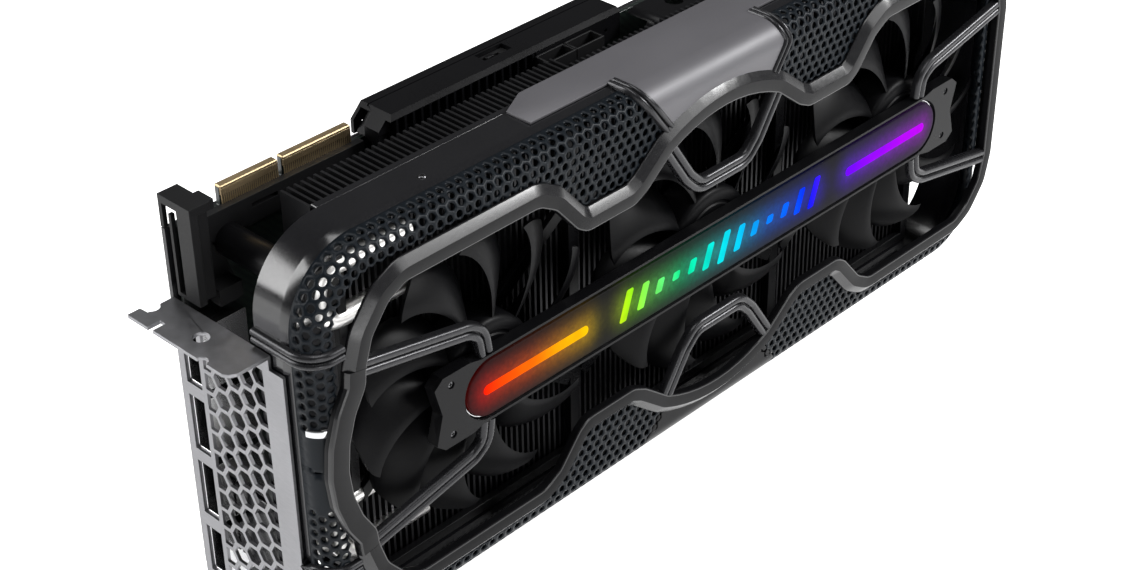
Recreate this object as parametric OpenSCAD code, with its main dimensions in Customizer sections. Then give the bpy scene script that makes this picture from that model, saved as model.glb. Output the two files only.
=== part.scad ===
// Three-fan graphics card with a two-slot bracket.
// +X runs from the bracket to the far end, +Y points to the backplate side,
// +Z runs from the slot edge to the top edge.
// The origin is the bracket's outer face, at its back edge, level with the top of its bent tab.

/* [Card] */
// Length from the bracket's outer face to the far end of the shroud
card_length = 294; // [260:1:330]
// Level of the shroud's top plate above the bracket tab
top_level = 30; // [20:1:40]
// Level of the shroud's floor below the bracket tab
floor_level = -92; // [-98:1:-80]
// Distance from the board's back face to the front of the light bar
front_depth = 57.5; // [50:0.5:65]

/* [Bracket] */
// Distance between neighbouring expansion slots
slot_pitch = 20.32; // [20.32]
// Overall height of the bracket with its tongues
bracket_height = 120.02; // [120.02]
// Thickness of the bracket's sheet
bracket_sheet = 1; // [0.8:0.1:1.2]
// Distance between the honeycomb vents
vent_pitch = 6.5; // [5:0.1:8]
// Distance between the display sockets
socket_pitch = 22; // [20:0.5:24]

/* [Fans] */
// Distance between the fans
fan_pitch = 91; // [85:0.5:95]
// Radius of the fan blades' tips
fan_radius = 43.5; // [38:0.5:45]
// Blades on each fan
blade_count = 11; // [7:1:13]

/* [Cooler] */
// Distance between the cooling fins
fin_pitch = 2.2; // [1.8:0.1:3]
// Thickness of each fin
fin_sheet = 0.8; // [0.4:0.1:1]
// Diameter of the heat pipes
pipe_diameter = 6; // [5:1:8]

/* [Hidden] */
$fn = 48;

// Layout in the X-Z plane
mid_x = 153;
mid_z = (top_level + floor_level) / 2;
fan_x = [mid_x - fan_pitch, mid_x, mid_x + fan_pitch];
corner_radius = 22;
shell_wall = 2;
shell_left = 1.3;
shell_right = card_length - 2;

// Layers through the card, as Y values
backplate_y = 2;
backplate_sheet = 1.4;
board_sheet = 1.6;
cold_y = -3.6;
pipe_y = -7.2;
fin_back_y = -13.4;
fin_front_y = -37.4;
carrier_y = -37.8;
carrier_sheet = 2.4;
rotor_back_y = -41.5;
rotor_depth = 10.8;
shell_back_y = -32.6;
shell_front_y = -47.5;
frame_back_y = -54.4;
frame_front_y = -57;
bar_back_y = -53;

// Board outline
board_left = 3;
board_right = 232;
board_top = 20.5;
board_bottom = -103.2;
slot_edge_bottom = -111.4;
bridge_top = 25.8;
bridge_spans = [[17.5, 36.9], [38.1, 62]];
slot_spans = [[44.6, 56.2], [58.1, 129.7]];
contact_plating = 0.1;

// Bracket
plate_width = 18.42 + slot_pitch;
strip_width = 5.3;
plate_bottom = -112.75;
tongue_width = 10.19;
tab_depth = 12.2;
screw_line_x = -5.7;
screw_line_y = 0.4;
screw_opening_radius = 2.2;

// Display sockets
socket_levels = [-16, -16 - socket_pitch, -16 - 2 * socket_pitch];
wide_socket_level = -81.5;
socket_mid_y = -5.7;
socket_height = 18;
wide_socket_height = 16;
socket_width = 6.4;
socket_depth = 15;

// Light bar
bar_half = 115;
bar_height = 21;
lens_half = 104.5;
lens_radius = 9.7;
line_near = 57.5;
line_far = 98;
line_radius = 1.7;

// Corner profile shared by the grilles and the shield
profile_y = -47.6;
profile_radius = 6.8;
grille_sheet = 0.8;

// Colours
black_plastic = [0.06, 0.06, 0.065];
dark_metal = [0.13, 0.13, 0.14];
steel = [0.62, 0.62, 0.64];
chrome = [0.75, 0.75, 0.78];
gold = [0.72, 0.58, 0.36];
copper = [0.72, 0.45, 0.3];

// Lays a shape drawn in X and Z flat at y, growing towards the fans.
module facing(y, depth) {
    translate([0, y, 0])
        rotate([90, 0, 0])
            linear_extrude(depth)
                children();
}

// Stands a shape drawn in Y and Z at x, growing away from the bracket.
module standing(x, depth) {
    translate([x, 0, 0])
        rotate([90, 0, 90])
            linear_extrude(depth)
                children();
}

// A box from its low corner to its high corner.
module block(low, high) {
    translate(low)
        cube(high - low);
}

// A round bar along Y from the back value to the front value.
module bar_y(x, z, radius, back, front) {
    translate([x, back, z])
        rotate([90, 0, 0])
            cylinder(r = radius, h = back - front);
}

// Mirrors a list of [distance, height] points left to right and reverses it.
function flip_x(points) = [for (i = [len(points) - 1:-1:0]) [-points[i][0], points[i][1]]];
function flip_z(points) = [for (i = [len(points) - 1:-1:0]) [points[i][0], -points[i][1]]];

// Unit vector between two points, and the vector square to it.
function unit(a, b) = (b - a) / norm(b - a);
function normal_of(v) = [-v[1], v[0]];

// Points of a path moved sideways by d, with mitred corners.
function side_path(p, d) = [for (i = [0:len(p) - 1])
    let (a = i == 0 ? unit(p[0], p[1]) : unit(p[i - 1], p[i]),
         b = i == len(p) - 1 ? a : unit(p[i], p[i + 1]),
         m = unit([0, 0], normal_of(a) + normal_of(b)))
    p[i] + m * d / (m * normal_of(a))];

function backwards(p) = [for (i = [len(p) - 1:-1:0]) p[i]];

// A flat band that follows a path.
module band(path, width) {
    polygon(concat(side_path(path, width / 2), backwards(side_path(path, -width / 2))));
}

// A strut with two raised beads along it.
module beaded_strut(path) {
    width = 4.4;
    facing(frame_back_y + 0.6, 2.4)
        band(path, width);
    for (side = [-1, 1])
        facing(frame_back_y - 1.8, 1)
            band(side_path(path, side * 1.3), 1.5);
}

// ---------------------------------------------------------------- bracket

// A six-sided vent in the bracket, as a bar through the sheet.
module vent(y, z) {
    translate([-1, y, z])
        rotate([0, 90, 0])
            rotate([0, 0, 90])
                cylinder(r = 0.8 * vent_pitch / sqrt(3), h = 4, $fn = 6);
}

// Honeycomb of vents beside the sockets.
module vents() {
    column_step = vent_pitch * sqrt(3) / 2;
    intersection() {
        union()
            for (column = [0:4])
                for (row = [0:15])
                    vent(-12 - column * column_step,
                        -8 - row * vent_pitch - (column % 2) * vent_pitch / 2);
        block([-2, -36, -108], [4, -10.8, -5]);
    }
}

module tab_outline() {
    notch = screw_opening_radius;
    difference() {
        polygon([[bracket_sheet, -plate_width], [-9.5, -plate_width], [-11.2, -37.8],
            [-tab_depth, -36], [-tab_depth, 2], [-8.2, 2], [-8, -1], [-3.2, 0],
            [bracket_sheet, 0]]);
        translate([screw_line_x, screw_line_y])
            circle(r = notch);
        translate([screw_line_x - notch, screw_line_y])
            square([2 * notch, 4]);
        translate([screw_line_x, screw_line_y - slot_pitch])
            circle(r = notch);
        translate([-tab_depth - 1, -8.4])
            square([5, 2]);
        translate([-tab_depth, -28.2])
            circle(r = 1.8);
    }
}

module io_bracket() {
    color(steel) {
        translate([0, 0, -bracket_sheet])
            linear_extrude(bracket_sheet)
                tab_outline();
        difference() {
            union() {
                block([0, -plate_width, plate_bottom], [bracket_sheet, 0, 0]);
                block([0, -plate_width - strip_width, -104], [bracket_sheet, -plate_width, -4]);
                for (slot = [0:1])
                    block([0, -14.3 - slot * slot_pitch, -bracket_height],
                        [bracket_sheet, -14.3 + tongue_width - slot * slot_pitch, plate_bottom]);
            }
            for (level = socket_levels)
                block([-1, socket_mid_y - socket_width / 2, level - socket_height / 2],
                    [3, socket_mid_y + socket_width / 2, level + socket_height / 2]);
            block([-1, socket_mid_y - socket_width / 2, wide_socket_level - wide_socket_height / 2],
                [3, socket_mid_y + socket_width / 2, wide_socket_level + wide_socket_height / 2]);
            vents();
        }
    }
}

// Metal shell of a socket, open towards the bracket.
module socket_shell(level, height) {
    wall = 0.8;
    y_low = socket_mid_y - socket_width / 2;
    y_high = socket_mid_y + socket_width / 2;
    difference() {
        block([bracket_sheet, y_low - wall, level - height / 2 - wall],
            [bracket_sheet + socket_depth, -board_sheet, level + height / 2 + wall]);
        block([0, y_low + 0.5, level - height / 2 + 0.5],
            [10, y_high - 0.5, level + height / 2 - 0.5]);
    }
}

module display_sockets() {
    color(dark_metal)
        for (level = socket_levels)
            socket_shell(level, socket_height);
}

module wide_video_socket() {
    color(dark_metal)
        socket_shell(wide_socket_level, wide_socket_height);
}

module socket_tongues() {
    color(black_plastic) {
        for (level = socket_levels)
            block([3, socket_mid_y - 0.6, level - 6.5], [10, socket_mid_y + 0.6, level + 6.5]);
        block([3, socket_mid_y - 0.6, wide_socket_level - 5.8],
            [10, socket_mid_y + 0.6, wide_socket_level + 5.8]);
    }
}

// ---------------------------------------------------------------- board

backplate_screw_spots = [[12, 12], [12, -92], [66, -92], [66, 10], [118, 10], [142, -92],
    [168, 10], [206, -92], [226, 10], [226, -60]];
spring_screw_spots = [for (dx = [-30, 30]) for (dz = [-30, 30]) [mid_x - 14 + dx, mid_z - 4 + dz]];

// Holes through the board and backplate at a list of spots.
module spot_holes(spots, radius) {
    for (spot = spots)
        translate([spot[0], 10, spot[1]])
            rotate([90, 0, 0])
                cylinder(r = radius, h = 20, $fn = 24);
}

module circuit_board() {
    color([0.05, 0.06, 0.05])
        difference() {
            union() {
                block([board_left, -board_sheet, board_bottom], [board_right, 0, board_top]);
                for (span = bridge_spans)
                    block([span[0], -board_sheet, board_top - 1], [span[1], 0, bridge_top]);
                for (span = slot_spans)
                    block([span[0], -board_sheet, slot_edge_bottom],
                        [span[1], 0, board_bottom + 1]);
            }
            spot_holes(backplate_screw_spots, 1.2);
            spot_holes(spring_screw_spots, 1.6);
        }
}

// Plating that wraps the two tongues on the top edge.
module bridge_contacts() {
    plating = 0.5;
    color(gold)
        for (span = bridge_spans)
            difference() {
                block([span[0] + 0.2, -board_sheet - plating, board_top + 0.8],
                    [span[1] - 0.2, plating, bridge_top + plating]);
                block([span[0] - 1, -board_sheet, board_top - 1], [span[1] + 1, 0, bridge_top]);
            }
}

module slot_contacts() {
    pad = 0.7;
    color(gold)
        for (span = slot_spans)
            for (x = [span[0] + 0.5:1:span[1] - pad])
                for (y = [-board_sheet - contact_plating, 0])
                    block([x, y, slot_edge_bottom + 0.8],
                        [x + pad, y + contact_plating, slot_edge_bottom + 6]);
}

module backplate() {
    corner = 6;
    left = shell_left;
    color(dark_metal)
        difference() {
            facing(backplate_y, backplate_sheet)
                polygon([[left, -96 + corner], [left + corner, -96], [shell_right - corner, -96],
                    [shell_right, -96 + corner], [shell_right, 20 - corner],
                    [shell_right - corner, 20], [left, 20]]);
            spot_holes(backplate_screw_spots, 1.2);
            block([mid_x - 52, -1, mid_z - 42], [mid_x + 24, 4, mid_z + 34]);
            for (column = [0:5])
                for (row = [0:5])
                    translate([242 + 8 * column, 0, mid_z - 39 + 15 * row])
                        rotate([0, -30, 0])
                            block([-1.6, -1, -5], [1.6, 4, 5]);
        }
}

// A screw from the back with its head on the plate.
module back_screw(spot, head_radius, shank_radius, seat, end) {
    bar_y(spot[0], spot[1], head_radius, seat + 0.5, seat);
    bar_y(spot[0], spot[1], shank_radius, seat, end);
}

module backplate_screws() {
    color(steel)
        for (spot = backplate_screw_spots)
            back_screw(spot, 2.2, 1.1, backplate_y, -board_sheet);
}

module retention_plate() {
    x = mid_x - 14;
    z = mid_z - 4;
    color(steel)
        difference() {
            block([x - 36, 0.1, z - 36], [x + 36, 1.1, z + 36]);
            block([x - 20, -1, z - 20], [x + 20, 4, z + 20]);
            spot_holes(spring_screw_spots, 1.6);
        }
}

module spring_screws() {
    color(steel)
        for (spot = spring_screw_spots)
            back_screw(spot, 2.6, 1.4, 1.1, cold_y);
}

module processor_package() {
    x = mid_x - 14;
    z = mid_z - 4;
    color([0.1, 0.16, 0.12])
        block([x - 19, -2.9, z - 19], [x + 19, -board_sheet, z + 19]);
    color(steel)
        block([x - 11, cold_y, z - 13], [x + 11, -2.9, z + 13]);
}

memory_spots = concat([for (i = [-1:1]) [mid_x - 14 + 16 * i, mid_z + 30]],
    [for (i = [-1:1]) [mid_x - 14 - 33, mid_z - 4 + 16 * i]],
    [for (i = [-1:1]) [mid_x - 14 + 33, mid_z - 4 + 16 * i]]);

module chip_row(spots, size, back, front) {
    for (spot = spots)
        block([spot[0] - size / 2, front, spot[1] - size / 2],
            [spot[0] + size / 2, back, spot[1] + size / 2]);
}

module memory_chips() {
    color(black_plastic)
        chip_row(memory_spots, 12, -board_sheet, -2.8);
}

module thermal_pads() {
    color([0.5, 0.5, 0.55])
        chip_row(memory_spots, 11, -2.8, cold_y);
}

choke_spots = concat([for (i = [0:5]) [78, -80 + 13 * i]], [for (i = [0:5]) [204, -80 + 13 * i]]);

module power_chokes() {
    color([0.2, 0.2, 0.21])
        chip_row(choke_spots, 8, -board_sheet, -6.4);
}

module capacitors() {
    color(steel)
        for (x = [90, 192])
            for (i = [0:5])
                bar_y(x, -80 + 13 * i, 3, -board_sheet, -6.4);
}

// ---------------------------------------------------------------- cooler

module cold_plate() {
    x = mid_x - 14;
    z = mid_z - 4;
    color(copper)
        block([x - 28, pipe_y, z - 28], [x + 28, cold_y, z + 28]);
}

// Cast plate that spreads heat from the memory and carries the fins.
module base_plate() {
    x = mid_x - 14;
    z = mid_z - 4;
    color(dark_metal)
        difference() {
            block([x - 42, pipe_y, z - 42], [x + 42, cold_y, z + 42]);
            block([x - 28, -20, z - 28], [x + 28, 0, z + 28]);
        }
}

module heat_pipes() {
    radius = pipe_diameter / 2;
    color(copper)
        for (i = [-2.5:1:2.5])
            translate([36, pipe_y - radius - 0.05, mid_z - 4 + 8.4 * i])
                rotate([0, 90, 0])
                    cylinder(r = radius, h = 240, $fn = 24);
}

// Outline of a fin in Y and Z. Above the shelf its back edge moves to the step.
function fin_outline(step, shelf) = [[fin_back_y, -88], [fin_front_y, -88], [fin_front_y, 26],
    [-30.2, 26], [-30.2, 29], [step, 29], [step, shelf], [fin_back_y, shelf]];

// Fins stand across the card, cut away behind the rail and more so behind the sockets.
module fin_stack() {
    first = 24;
    count = floor((shell_right - corner_radius + 8 - first) / fin_pitch);
    last = first + (count - 1) * fin_pitch;
    sockets_from = 121;
    color(dark_metal) {
        for (x = [first:fin_pitch:last])
            standing(x, fin_sheet)
                polygon(x < sockets_from ? fin_outline(-18.5, 8) : fin_outline(-24.4, 8));
        for (level = [-86, -8])
            block([first, fin_front_y + 12, level], [last, fin_front_y + 14, level + 1]);
    }
}

// ---------------------------------------------------------------- top edge

rail_left = 65.3;
rail_right = 157.8;
rail_roof = 29.2;
rail_front_y = -11.4;
socket_pocket = 122.2;
socket_spacing = 11.5;
socket_front_y = -17.3;
socket_back_y = -11.7;
socket_roof = 27;

// Black moulding behind the bracket: slotted end post, gusset, and a web beside the board.
module middle_frame() {
    post_left = 1.3;
    post_right = 7.7;
    roof_low = 27.6;
    color(black_plastic) {
        block([post_left, -11, roof_low], [post_right, 2, 30]);
        block([post_right - 0.2, -10.5, roof_low - 0.4], [9.35, -4.5, 30]);
        block([post_left, 0.6, 20.3], [2.6, 2, roof_low + 0.1]);
        block([post_left, -2.9, 1.2], [2.6, -1.8, 25.6]);
        block([post_left, -11, 1.2], [3.7, -5.3, roof_low + 0.1]);
        block([3.6, -9.4, 1.2], [post_right, -2.2, roof_low + 0.1]);
        block([post_left, -11, 1.2], [3.7, -1.8, 2.4]);
        difference() {
            block([7.5, -4.3, 13], [rail_left - 1, -1.9, 21.2]);
            block([25.5, -6, 17.6], [34, 0, 18.8]);
        }
        difference() {
            facing(-2.1, 2.2)
                polygon([[7.5, 21], [9.5, 16.5], [12.3, 12.2], [15.2, 7.9], [17.5, 0.8], [7.5, 0.8]]);
            bar_y(9, 9.1, 0.5, 0, -10);
        }
        block([8.4, -9.7, -2.6], [16, -3.2, 2.3]);
    }
}

module support_post() {
    color([0.1, 0.1, 0.11])
        bar_y(17, 12, 4.5, -4.4, carrier_y);
}

// Rail along the top edge: a hollow sloping end, and a comb of ribs that faces the fins.
module edge_rail() {
    rib_pitch = 3.04;
    rib_count = 18;
    rib_sheet = 0.8;
    comb_depth = 2;
    end_slope = 4.1;
    band_low = 27.8;
    body_low = 24;
    first_rib = rail_left + 4.6;
    color(dark_metal)
        difference() {
            union() {
                intersection() {
                    standing(rail_left, rail_right - rail_left)
                        polygon([[2, body_low], [2, rail_roof], [-10, rail_roof],
                            [rail_front_y, band_low + 0.2], [rail_front_y, band_low],
                            [rail_front_y + comb_depth, band_low], [rail_front_y + comb_depth, body_low]]);
                    facing(3, 20)
                        polygon([[rail_left, 20], [rail_left, rail_roof - end_slope],
                            [rail_left + end_slope, rail_roof], [rail_right, rail_roof],
                            [rail_right, 20]]);
                }
                for (i = [0:rib_count - 1])
                    block([first_rib + i * rib_pitch, rail_front_y, 9],
                        [first_rib + rib_sheet + i * rib_pitch, rail_front_y + comb_depth + 0.1,
                            band_low + 0.1]);
                block([rail_left + end_slope, rail_front_y + comb_depth - 0.15, 9],
                    [first_rib + rib_count * rib_pitch - 2.2, -8, body_low + 0.1]);
                block([first_rib + rib_count * rib_pitch - 1.5, rail_front_y, 20],
                    [rail_right, rail_front_y + comb_depth + 0.1, band_low + 0.1]);
                block([rail_left, -9, 21], [rail_left + 3, 2, body_low + 0.1]);
            }
            block([rail_left - 1, -3.6, 20], [rail_left + 9, 0.8, 28]);
            block([108, -6.3, body_low + 1], [118.6, -2, rail_roof + 1]);
            block([rail_left - 1, -1.3, rail_roof - 0.5], [rail_right + 1, -0.9, rail_roof + 1]);
            bar_y(151.8, 24.1, 0.6, 0, -20);
        }
    color(dark_metal)
        translate([rail_left + 0.6, -1.2, 21.4])
            rotate([0, 42, 0])
                block([-0.6, -2.6, 0], [0.6, 1.2, 7.4]);
}

module mode_switch_body() {
    color(black_plastic)
        difference() {
            block([108.1, -6.2, 25.1], [118.5, -2.1, 28]);
            block([109.7, -5.1, 26.2], [115.7, -3.4, 29]);
        }
}

module mode_switch_slider() {
    color([0.2, 0.2, 0.2])
        block([110.1, -5.05, 26.3], [112.9, -3.45, 28.8]);
}

// A plug socket in front of the rail, with a foot that reaches back to the board.
module power_socket(x) {
    width = 11.2;
    wall = 0.6;
    cavity_floor = 18;
    difference() {
        union() {
            block([x, socket_front_y, 10], [x + width, socket_back_y, socket_roof]);
            block([x + 1, socket_back_y - 0.1, 10], [x + width - 1, -board_sheet, 14]);
        }
        block([x + wall, socket_front_y + wall, cavity_floor],
            [x + width - wall, socket_back_y - wall, socket_roof + 1]);
    }
}

module power_sockets() {
    color(black_plastic)
        for (i = [0:1])
            power_socket(socket_pocket + i * socket_spacing);
}

module power_pins() {
    pin = 1.14;
    pitch = 3.2;
    color(gold)
        for (socket = [0:1])
            for (column = [0:2])
                translate([socket_pocket + socket_spacing * socket + 1.83 + column * pitch,
                    (socket_front_y + socket_back_y - pin) / 2, 18])
                    cube([pin, pin, 6]);
}

// Rounded cover past the power sockets.
module rear_cover() {
    radius = 4;
    color(dark_metal)
        difference() {
            union() {
                block([rail_right + 2, -24, 19], [shell_right - 4, -11.8, 24]);
                block([rail_right + 2 + radius, -24, 24], [shell_right - 4, -11.8, 24 + radius]);
                translate([rail_right + 2 + radius, -11.8, 24])
                    rotate([90, 0, 0])
                        cylinder(r = radius, h = 12.2);
            }
            block([rail_right - 2, -19.5, 10], [shell_right, -11, 26.5]);
            translate([174, -18, 20])
                cylinder(r = 3, h = 20);
        }
}

// ---------------------------------------------------------------- shroud

// Rounded rectangle in X and Z, moved inwards by inset.
module shell_outline(inset) {
    r = corner_radius - inset;
    hull_left = shell_left + corner_radius;
    hull_right = shell_right - corner_radius;
    translate([hull_left, floor_level + corner_radius])
        offset(r = r)
            square([hull_right - hull_left, top_level - floor_level - 2 * corner_radius]);
}

plate_screw_spots = [[52, -41], [94, -37]];

module shroud_shell() {
    plate_left = 24;
    rib_left = shell_left + 4.2;
    rib_sheet = 1.5;
    color(black_plastic) {
        difference() {
            facing(shell_back_y, shell_back_y - shell_front_y)
                difference() {
                    shell_outline(0);
                    shell_outline(shell_wall);
                }
            for (spot = plate_screw_spots)
                translate([spot[0], spot[1], 20])
                    cylinder(r = 1.1, h = 20, $fn = 24);
        }
        block([plate_left, shell_back_y, top_level - 1],
            [shell_right - corner_radius, -30.4, top_level]);
        block([plate_left, shell_back_y, floor_level],
            [shell_right - corner_radius, -20, floor_level + shell_wall]);
        block([shell_right - shell_wall, shell_back_y, floor_level + corner_radius],
            [shell_right, -12, top_level - corner_radius]);
        // Rib that closes the corner behind the bracket's lower vents.
        block([rib_left, shell_back_y - 2.4, floor_level + 9.5], [rib_left + rib_sheet, -10.2, floor_level + 34]);
    }
}

// Half of the frame's opening: distance from the middle and height above the middle.
half_opening = [[23, 41.5], [33, 33.5], [38, 31], [57, 31], [61, 33.5], [69, 43], [75, 46.5],
    [122, 46.5], [128, 43.5], [134, 36]];
arch_rise = 5.5;
arch = [for (i = [-4:4]) [23 * i / 5, 41.5 + arch_rise * (1 - pow(i / 5, 2))]];
right_end = [[136, 27]];
left_end = [[138, 28]];
ring_reach = 144.5;
ring_middle = 105.6;
ring_arc = [for (a = [-30:10:30]) [-ring_middle - (ring_reach - ring_middle) * cos(a * 1.2),
    (ring_reach - ring_middle) * sin(a * 1.2)]];
right_upper = concat(half_opening, right_end);
left_upper = flip_x(concat(half_opening, left_end));
upper = concat(left_upper, arch, right_upper);
opening_points = concat(ring_arc, upper, flip_z(upper));

// Clear opening in the front frame, grown outwards by d.
module opening(d) {
    translate([mid_x, mid_z])
        offset(r = d)
            offset(r = 1.5)
                offset(delta = -1.5)
                    polygon(opening_points);
}

module frame_band(inner, outer) {
    difference() {
        opening(outer);
        opening(inner);
    }
}

module frame_layers() {
    facing(frame_front_y + 1.2, 1.2)
        frame_band(0, 4);
    facing(frame_back_y, frame_back_y - frame_front_y - 1.2)
        frame_band(0, 6.5);
}

ring_top = mid_z + 28;
ring_bottom = mid_z - 28;

module front_frame() {
    color(black_plastic) {
        difference() {
            frame_layers();
            block([-20, -60, ring_bottom], [22, -50, ring_top]);
        }
        // Lip that closes the gap beside the end grilles.
        block([shell_right - 1.4, profile_y - profile_radius - 0.6, mid_z - 30],
            [shell_right, profile_y - profile_radius + 2.4, mid_z + 30]);
    }
}

module c_ring() {
    color([0.1, 0.1, 0.105])
        intersection() {
            frame_layers();
            block([-20, -60, ring_bottom + 0.1], [22, -50, ring_top - 0.1]);
        }
}

function placed(points) = [for (p = points) p + [mid_x, mid_z]];

strut_path = [[95.5, bar_height / 2 + 0.2], [96.5, 17.5], [101, 20.5], [135, 27.4]];
loop_path = [[22.4, 41], [15, 29.5], [10, 24.5]];

module strut_pair(side) {
    path = [for (p = strut_path) [side * p[0], p[1]]];
    color(chrome) {
        difference() {
            beaded_strut(placed(path));
            frame_space();
        }
        difference() {
            beaded_strut(placed(flip_z(path)));
            frame_space();
        }
    }
}

// The space the frame and the grilles' end runs take, with nothing over the opening.
module frame_space() {
    facing(-50, 10)
        frame_band(-0.05, 12);
    block([shell_right - profile_radius - 0.3, profile_y - profile_radius - 0.1, floor_level],
        [shell_right, -50, top_level]);
}

module left_struts() {
    strut_pair(-1);
}

module right_struts() {
    strut_pair(1);
}

module loop(side) {
    path = [for (p = concat(loop_path, flip_x(loop_path))) [p[0], side * p[1]]];
    color(chrome)
        difference() {
            beaded_strut(placed(path));
            frame_space();
        }
}

module top_loop() {
    loop(1);
}

module bottom_loop() {
    loop(-1);
}

// Double beads round the shroud's left corner, above the bracket and low down.
module end_beads() {
    reach = profile_radius + 0.05;
    color(chrome)
        for (spec = [[1.8, shell_back_y + 0.5], [-66, -44.6]])
            for (z = [spec[0], spec[0] + 2]) {
                block([shell_left - 1, profile_y, z], [shell_left, spec[1], z + 1.2]);
                translate([shell_left + reach, profile_y, z])
                    intersection() {
                        difference() {
                            cylinder(r = reach + 1, h = 1.2);
                            translate([0, 0, -1])
                                cylinder(r = reach, h = 4);
                        }
                        block([-20, -20, 0], [-1.2, 0, 1.2]);
                    }
            }
}

// Quarter ring between the shell and the frame, drawn in Y and Z at the top edge.
module corner_profile(outer, sheet) {
    translate([profile_y, top_level - profile_radius])
        intersection() {
            difference() {
                circle(r = outer);
                circle(r = outer - sheet);
            }
            translate([-20, 0])
                square([20, 20]);
        }
}

// Front-view shape of the shield where it wraps over the corner.
shield_side = [[22, 44], [23.5, 47.5], [30, 56], [38, 68]];
shield_side_right = [[22, 44], [24, 47.5], [30, 56], [26, 68]];

module shield_silhouette(grow) {
    translate([mid_x, mid_z])
        offset(delta = grow)
            polygon(concat(flip_x(shield_side), [[0, 40]], shield_side_right));
}

// Grille over one top corner run, with rows of vents.
module grille_straight(from, to) {
    outer = profile_radius;
    difference() {
        standing(from, to - from)
            corner_profile(outer, grille_sheet);
        for (angle = [25, 60])
            for (x = [from + 4:4.4:to - 4])
                translate([x, profile_y, top_level - profile_radius])
                    rotate([angle, 0, 0])
                        cylinder(r = 1.4, h = 20, $fn = 6);
    }
}

module grille_corner(x) {
    centre = corner_radius - profile_radius;
    translate([x, profile_y, top_level - corner_radius])
        rotate([90, 0, 0])
            rotate_extrude(angle = 90)
                translate([centre, 0])
                    intersection() {
                        difference() {
                            circle(r = profile_radius);
                            circle(r = profile_radius - grille_sheet);
                        }
                        square(20);
                    }
}

// The grille's upright run at the end of the card, down to the card's middle.
module grille_end(low, high) {
    rise = 4.4;
    translate([shell_right - profile_radius, profile_y, 0])
        difference() {
            intersection() {
                translate([0, 0, low])
                    difference() {
                        cylinder(r = profile_radius, h = high - low);
                        translate([0, 0, -1])
                            cylinder(r = profile_radius - grille_sheet, h = high - low + 2);
                    }
                block([0, -20, low], [20, 0, high]);
            }
            for (angle = [-65, -30])
                for (z = [low + 4:rise:high - 3])
                    translate([0, 0, z])
                        rotate([0, 90, angle])
                            cylinder(r = 1.4, h = 20, $fn = 6);
        }
}

// One grille: top run, corner, end run, and the flat skirt behind the frame.
// Drawn for the top right.
module grille() {
    straight_end = shell_right - corner_radius;
    skirt_y = profile_y - profile_radius + grille_sheet;
    difference() {
        union() {
            grille_straight(mid_x + 20, straight_end);
            grille_corner(straight_end);
            grille_end(mid_z + 0.2, top_level - corner_radius);
            facing(skirt_y, grille_sheet)
                difference() {
                    translate([mid_x + 20, mid_z + 33])
                        square([56, top_level - profile_radius - mid_z - 33]);
                    opening(2.5);
                }
        }
        facing(-30, 40)
            shield_silhouette(0.4);
        for (row = [0:2])
            for (column = [0:7])
                translate([mid_x + 37 + 3.6 * column + 1.8 * (row % 2), -50, mid_z + 40 + 3.2 * row])
                    rotate([90, 0, 0])
                        cylinder(r = 1.3, h = 10, $fn = 6);
    }
}

// The card's shroud is the same above and below its middle.
module upside_down() {
    translate([0, 0, mid_z])
        mirror([0, 0, 1])
            translate([0, 0, -mid_z])
                children();
}

// The left end swaps sides about the middle of the shell.
module left_side() {
    middle = (shell_left + shell_right) / 2;
    translate([middle, 0, 0])
        mirror([1, 0, 0])
            translate([-middle, 0, 0])
                children();
}

module mesh_top_left() {
    color(dark_metal)
        left_side()
            grille();
}

module mesh_top_right() {
    color(dark_metal)
        grille();
}

module mesh_bottom_left() {
    color(dark_metal)
        upside_down()
            left_side()
                grille();
}

module mesh_bottom_right() {
    color(dark_metal)
        upside_down()
            grille();
}

// Part of a wrap that follows the corner profile inside a front-view shape.
module wrap(outer, sheet) {
    intersection() {
        union() {
            standing(mid_x - 36, 72)
                corner_profile(outer, sheet);
            facing(profile_y - outer + sheet, sheet)
                translate([mid_x - 36, mid_z + 40])
                    square([72, top_level - profile_radius - mid_z - 39.7]);
        }
        children();
    }
}

shield_half = 63.5;

module shield_plate() {
    y_back = -28.5;
    y_front = -42.4;
    color([0.42, 0.42, 0.44]) {
        difference() {
            translate([0, 0, top_level])
                linear_extrude(0.8)
                    polygon([[mid_x - shield_half, y_front], [mid_x - shield_half, -33.4],
                        [mid_x - shield_half + 9.5, y_back], [mid_x + shield_half - 9.5, y_back],
                        [mid_x + shield_half, -33.4], [mid_x + shield_half, y_front],
                        [mid_x + 25.3, y_front], [mid_x + 25.3, profile_y - 0.2],
                        [mid_x - 29.9, profile_y - 0.2], [mid_x - 29.9, y_front]]);
            translate([plate_screw_spots[1][0], plate_screw_spots[1][1], 20])
                cylinder(r = 1.1, h = 20, $fn = 24);
        }
        difference() {
            wrap(profile_radius + 0.8, 0.8)
                facing(-30, 40)
                    shield_silhouette(-2.8);
            facing(-50, 10)
                opening(6.6);
            block([mid_x - 24, -60, 0], [mid_x - 20, -50, top_level - 9]);
        }
    }
}

module shield_beads() {
    color(chrome)
        difference() {
            wrap(profile_radius + 1.4, 1.6)
                facing(-30, 40)
                    difference() {
                        shield_silhouette(0);
                        shield_silhouette(-2.5);
                    }
            facing(-50, 10)
                opening(6.6);
            block([0, -60, top_level - profile_radius - 60], [300, -40, mid_z + 41.5]);
        }
}

module bottom_wrap() {
    color([0.08, 0.08, 0.085])
        upside_down()
            difference() {
                wrap(profile_radius, 1.2)
                    facing(-30, 40)
                        shield_silhouette(0);
                facing(-50, 10)
                    opening(6.6);
            }
}

// ---------------------------------------------------------------- light bar

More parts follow.
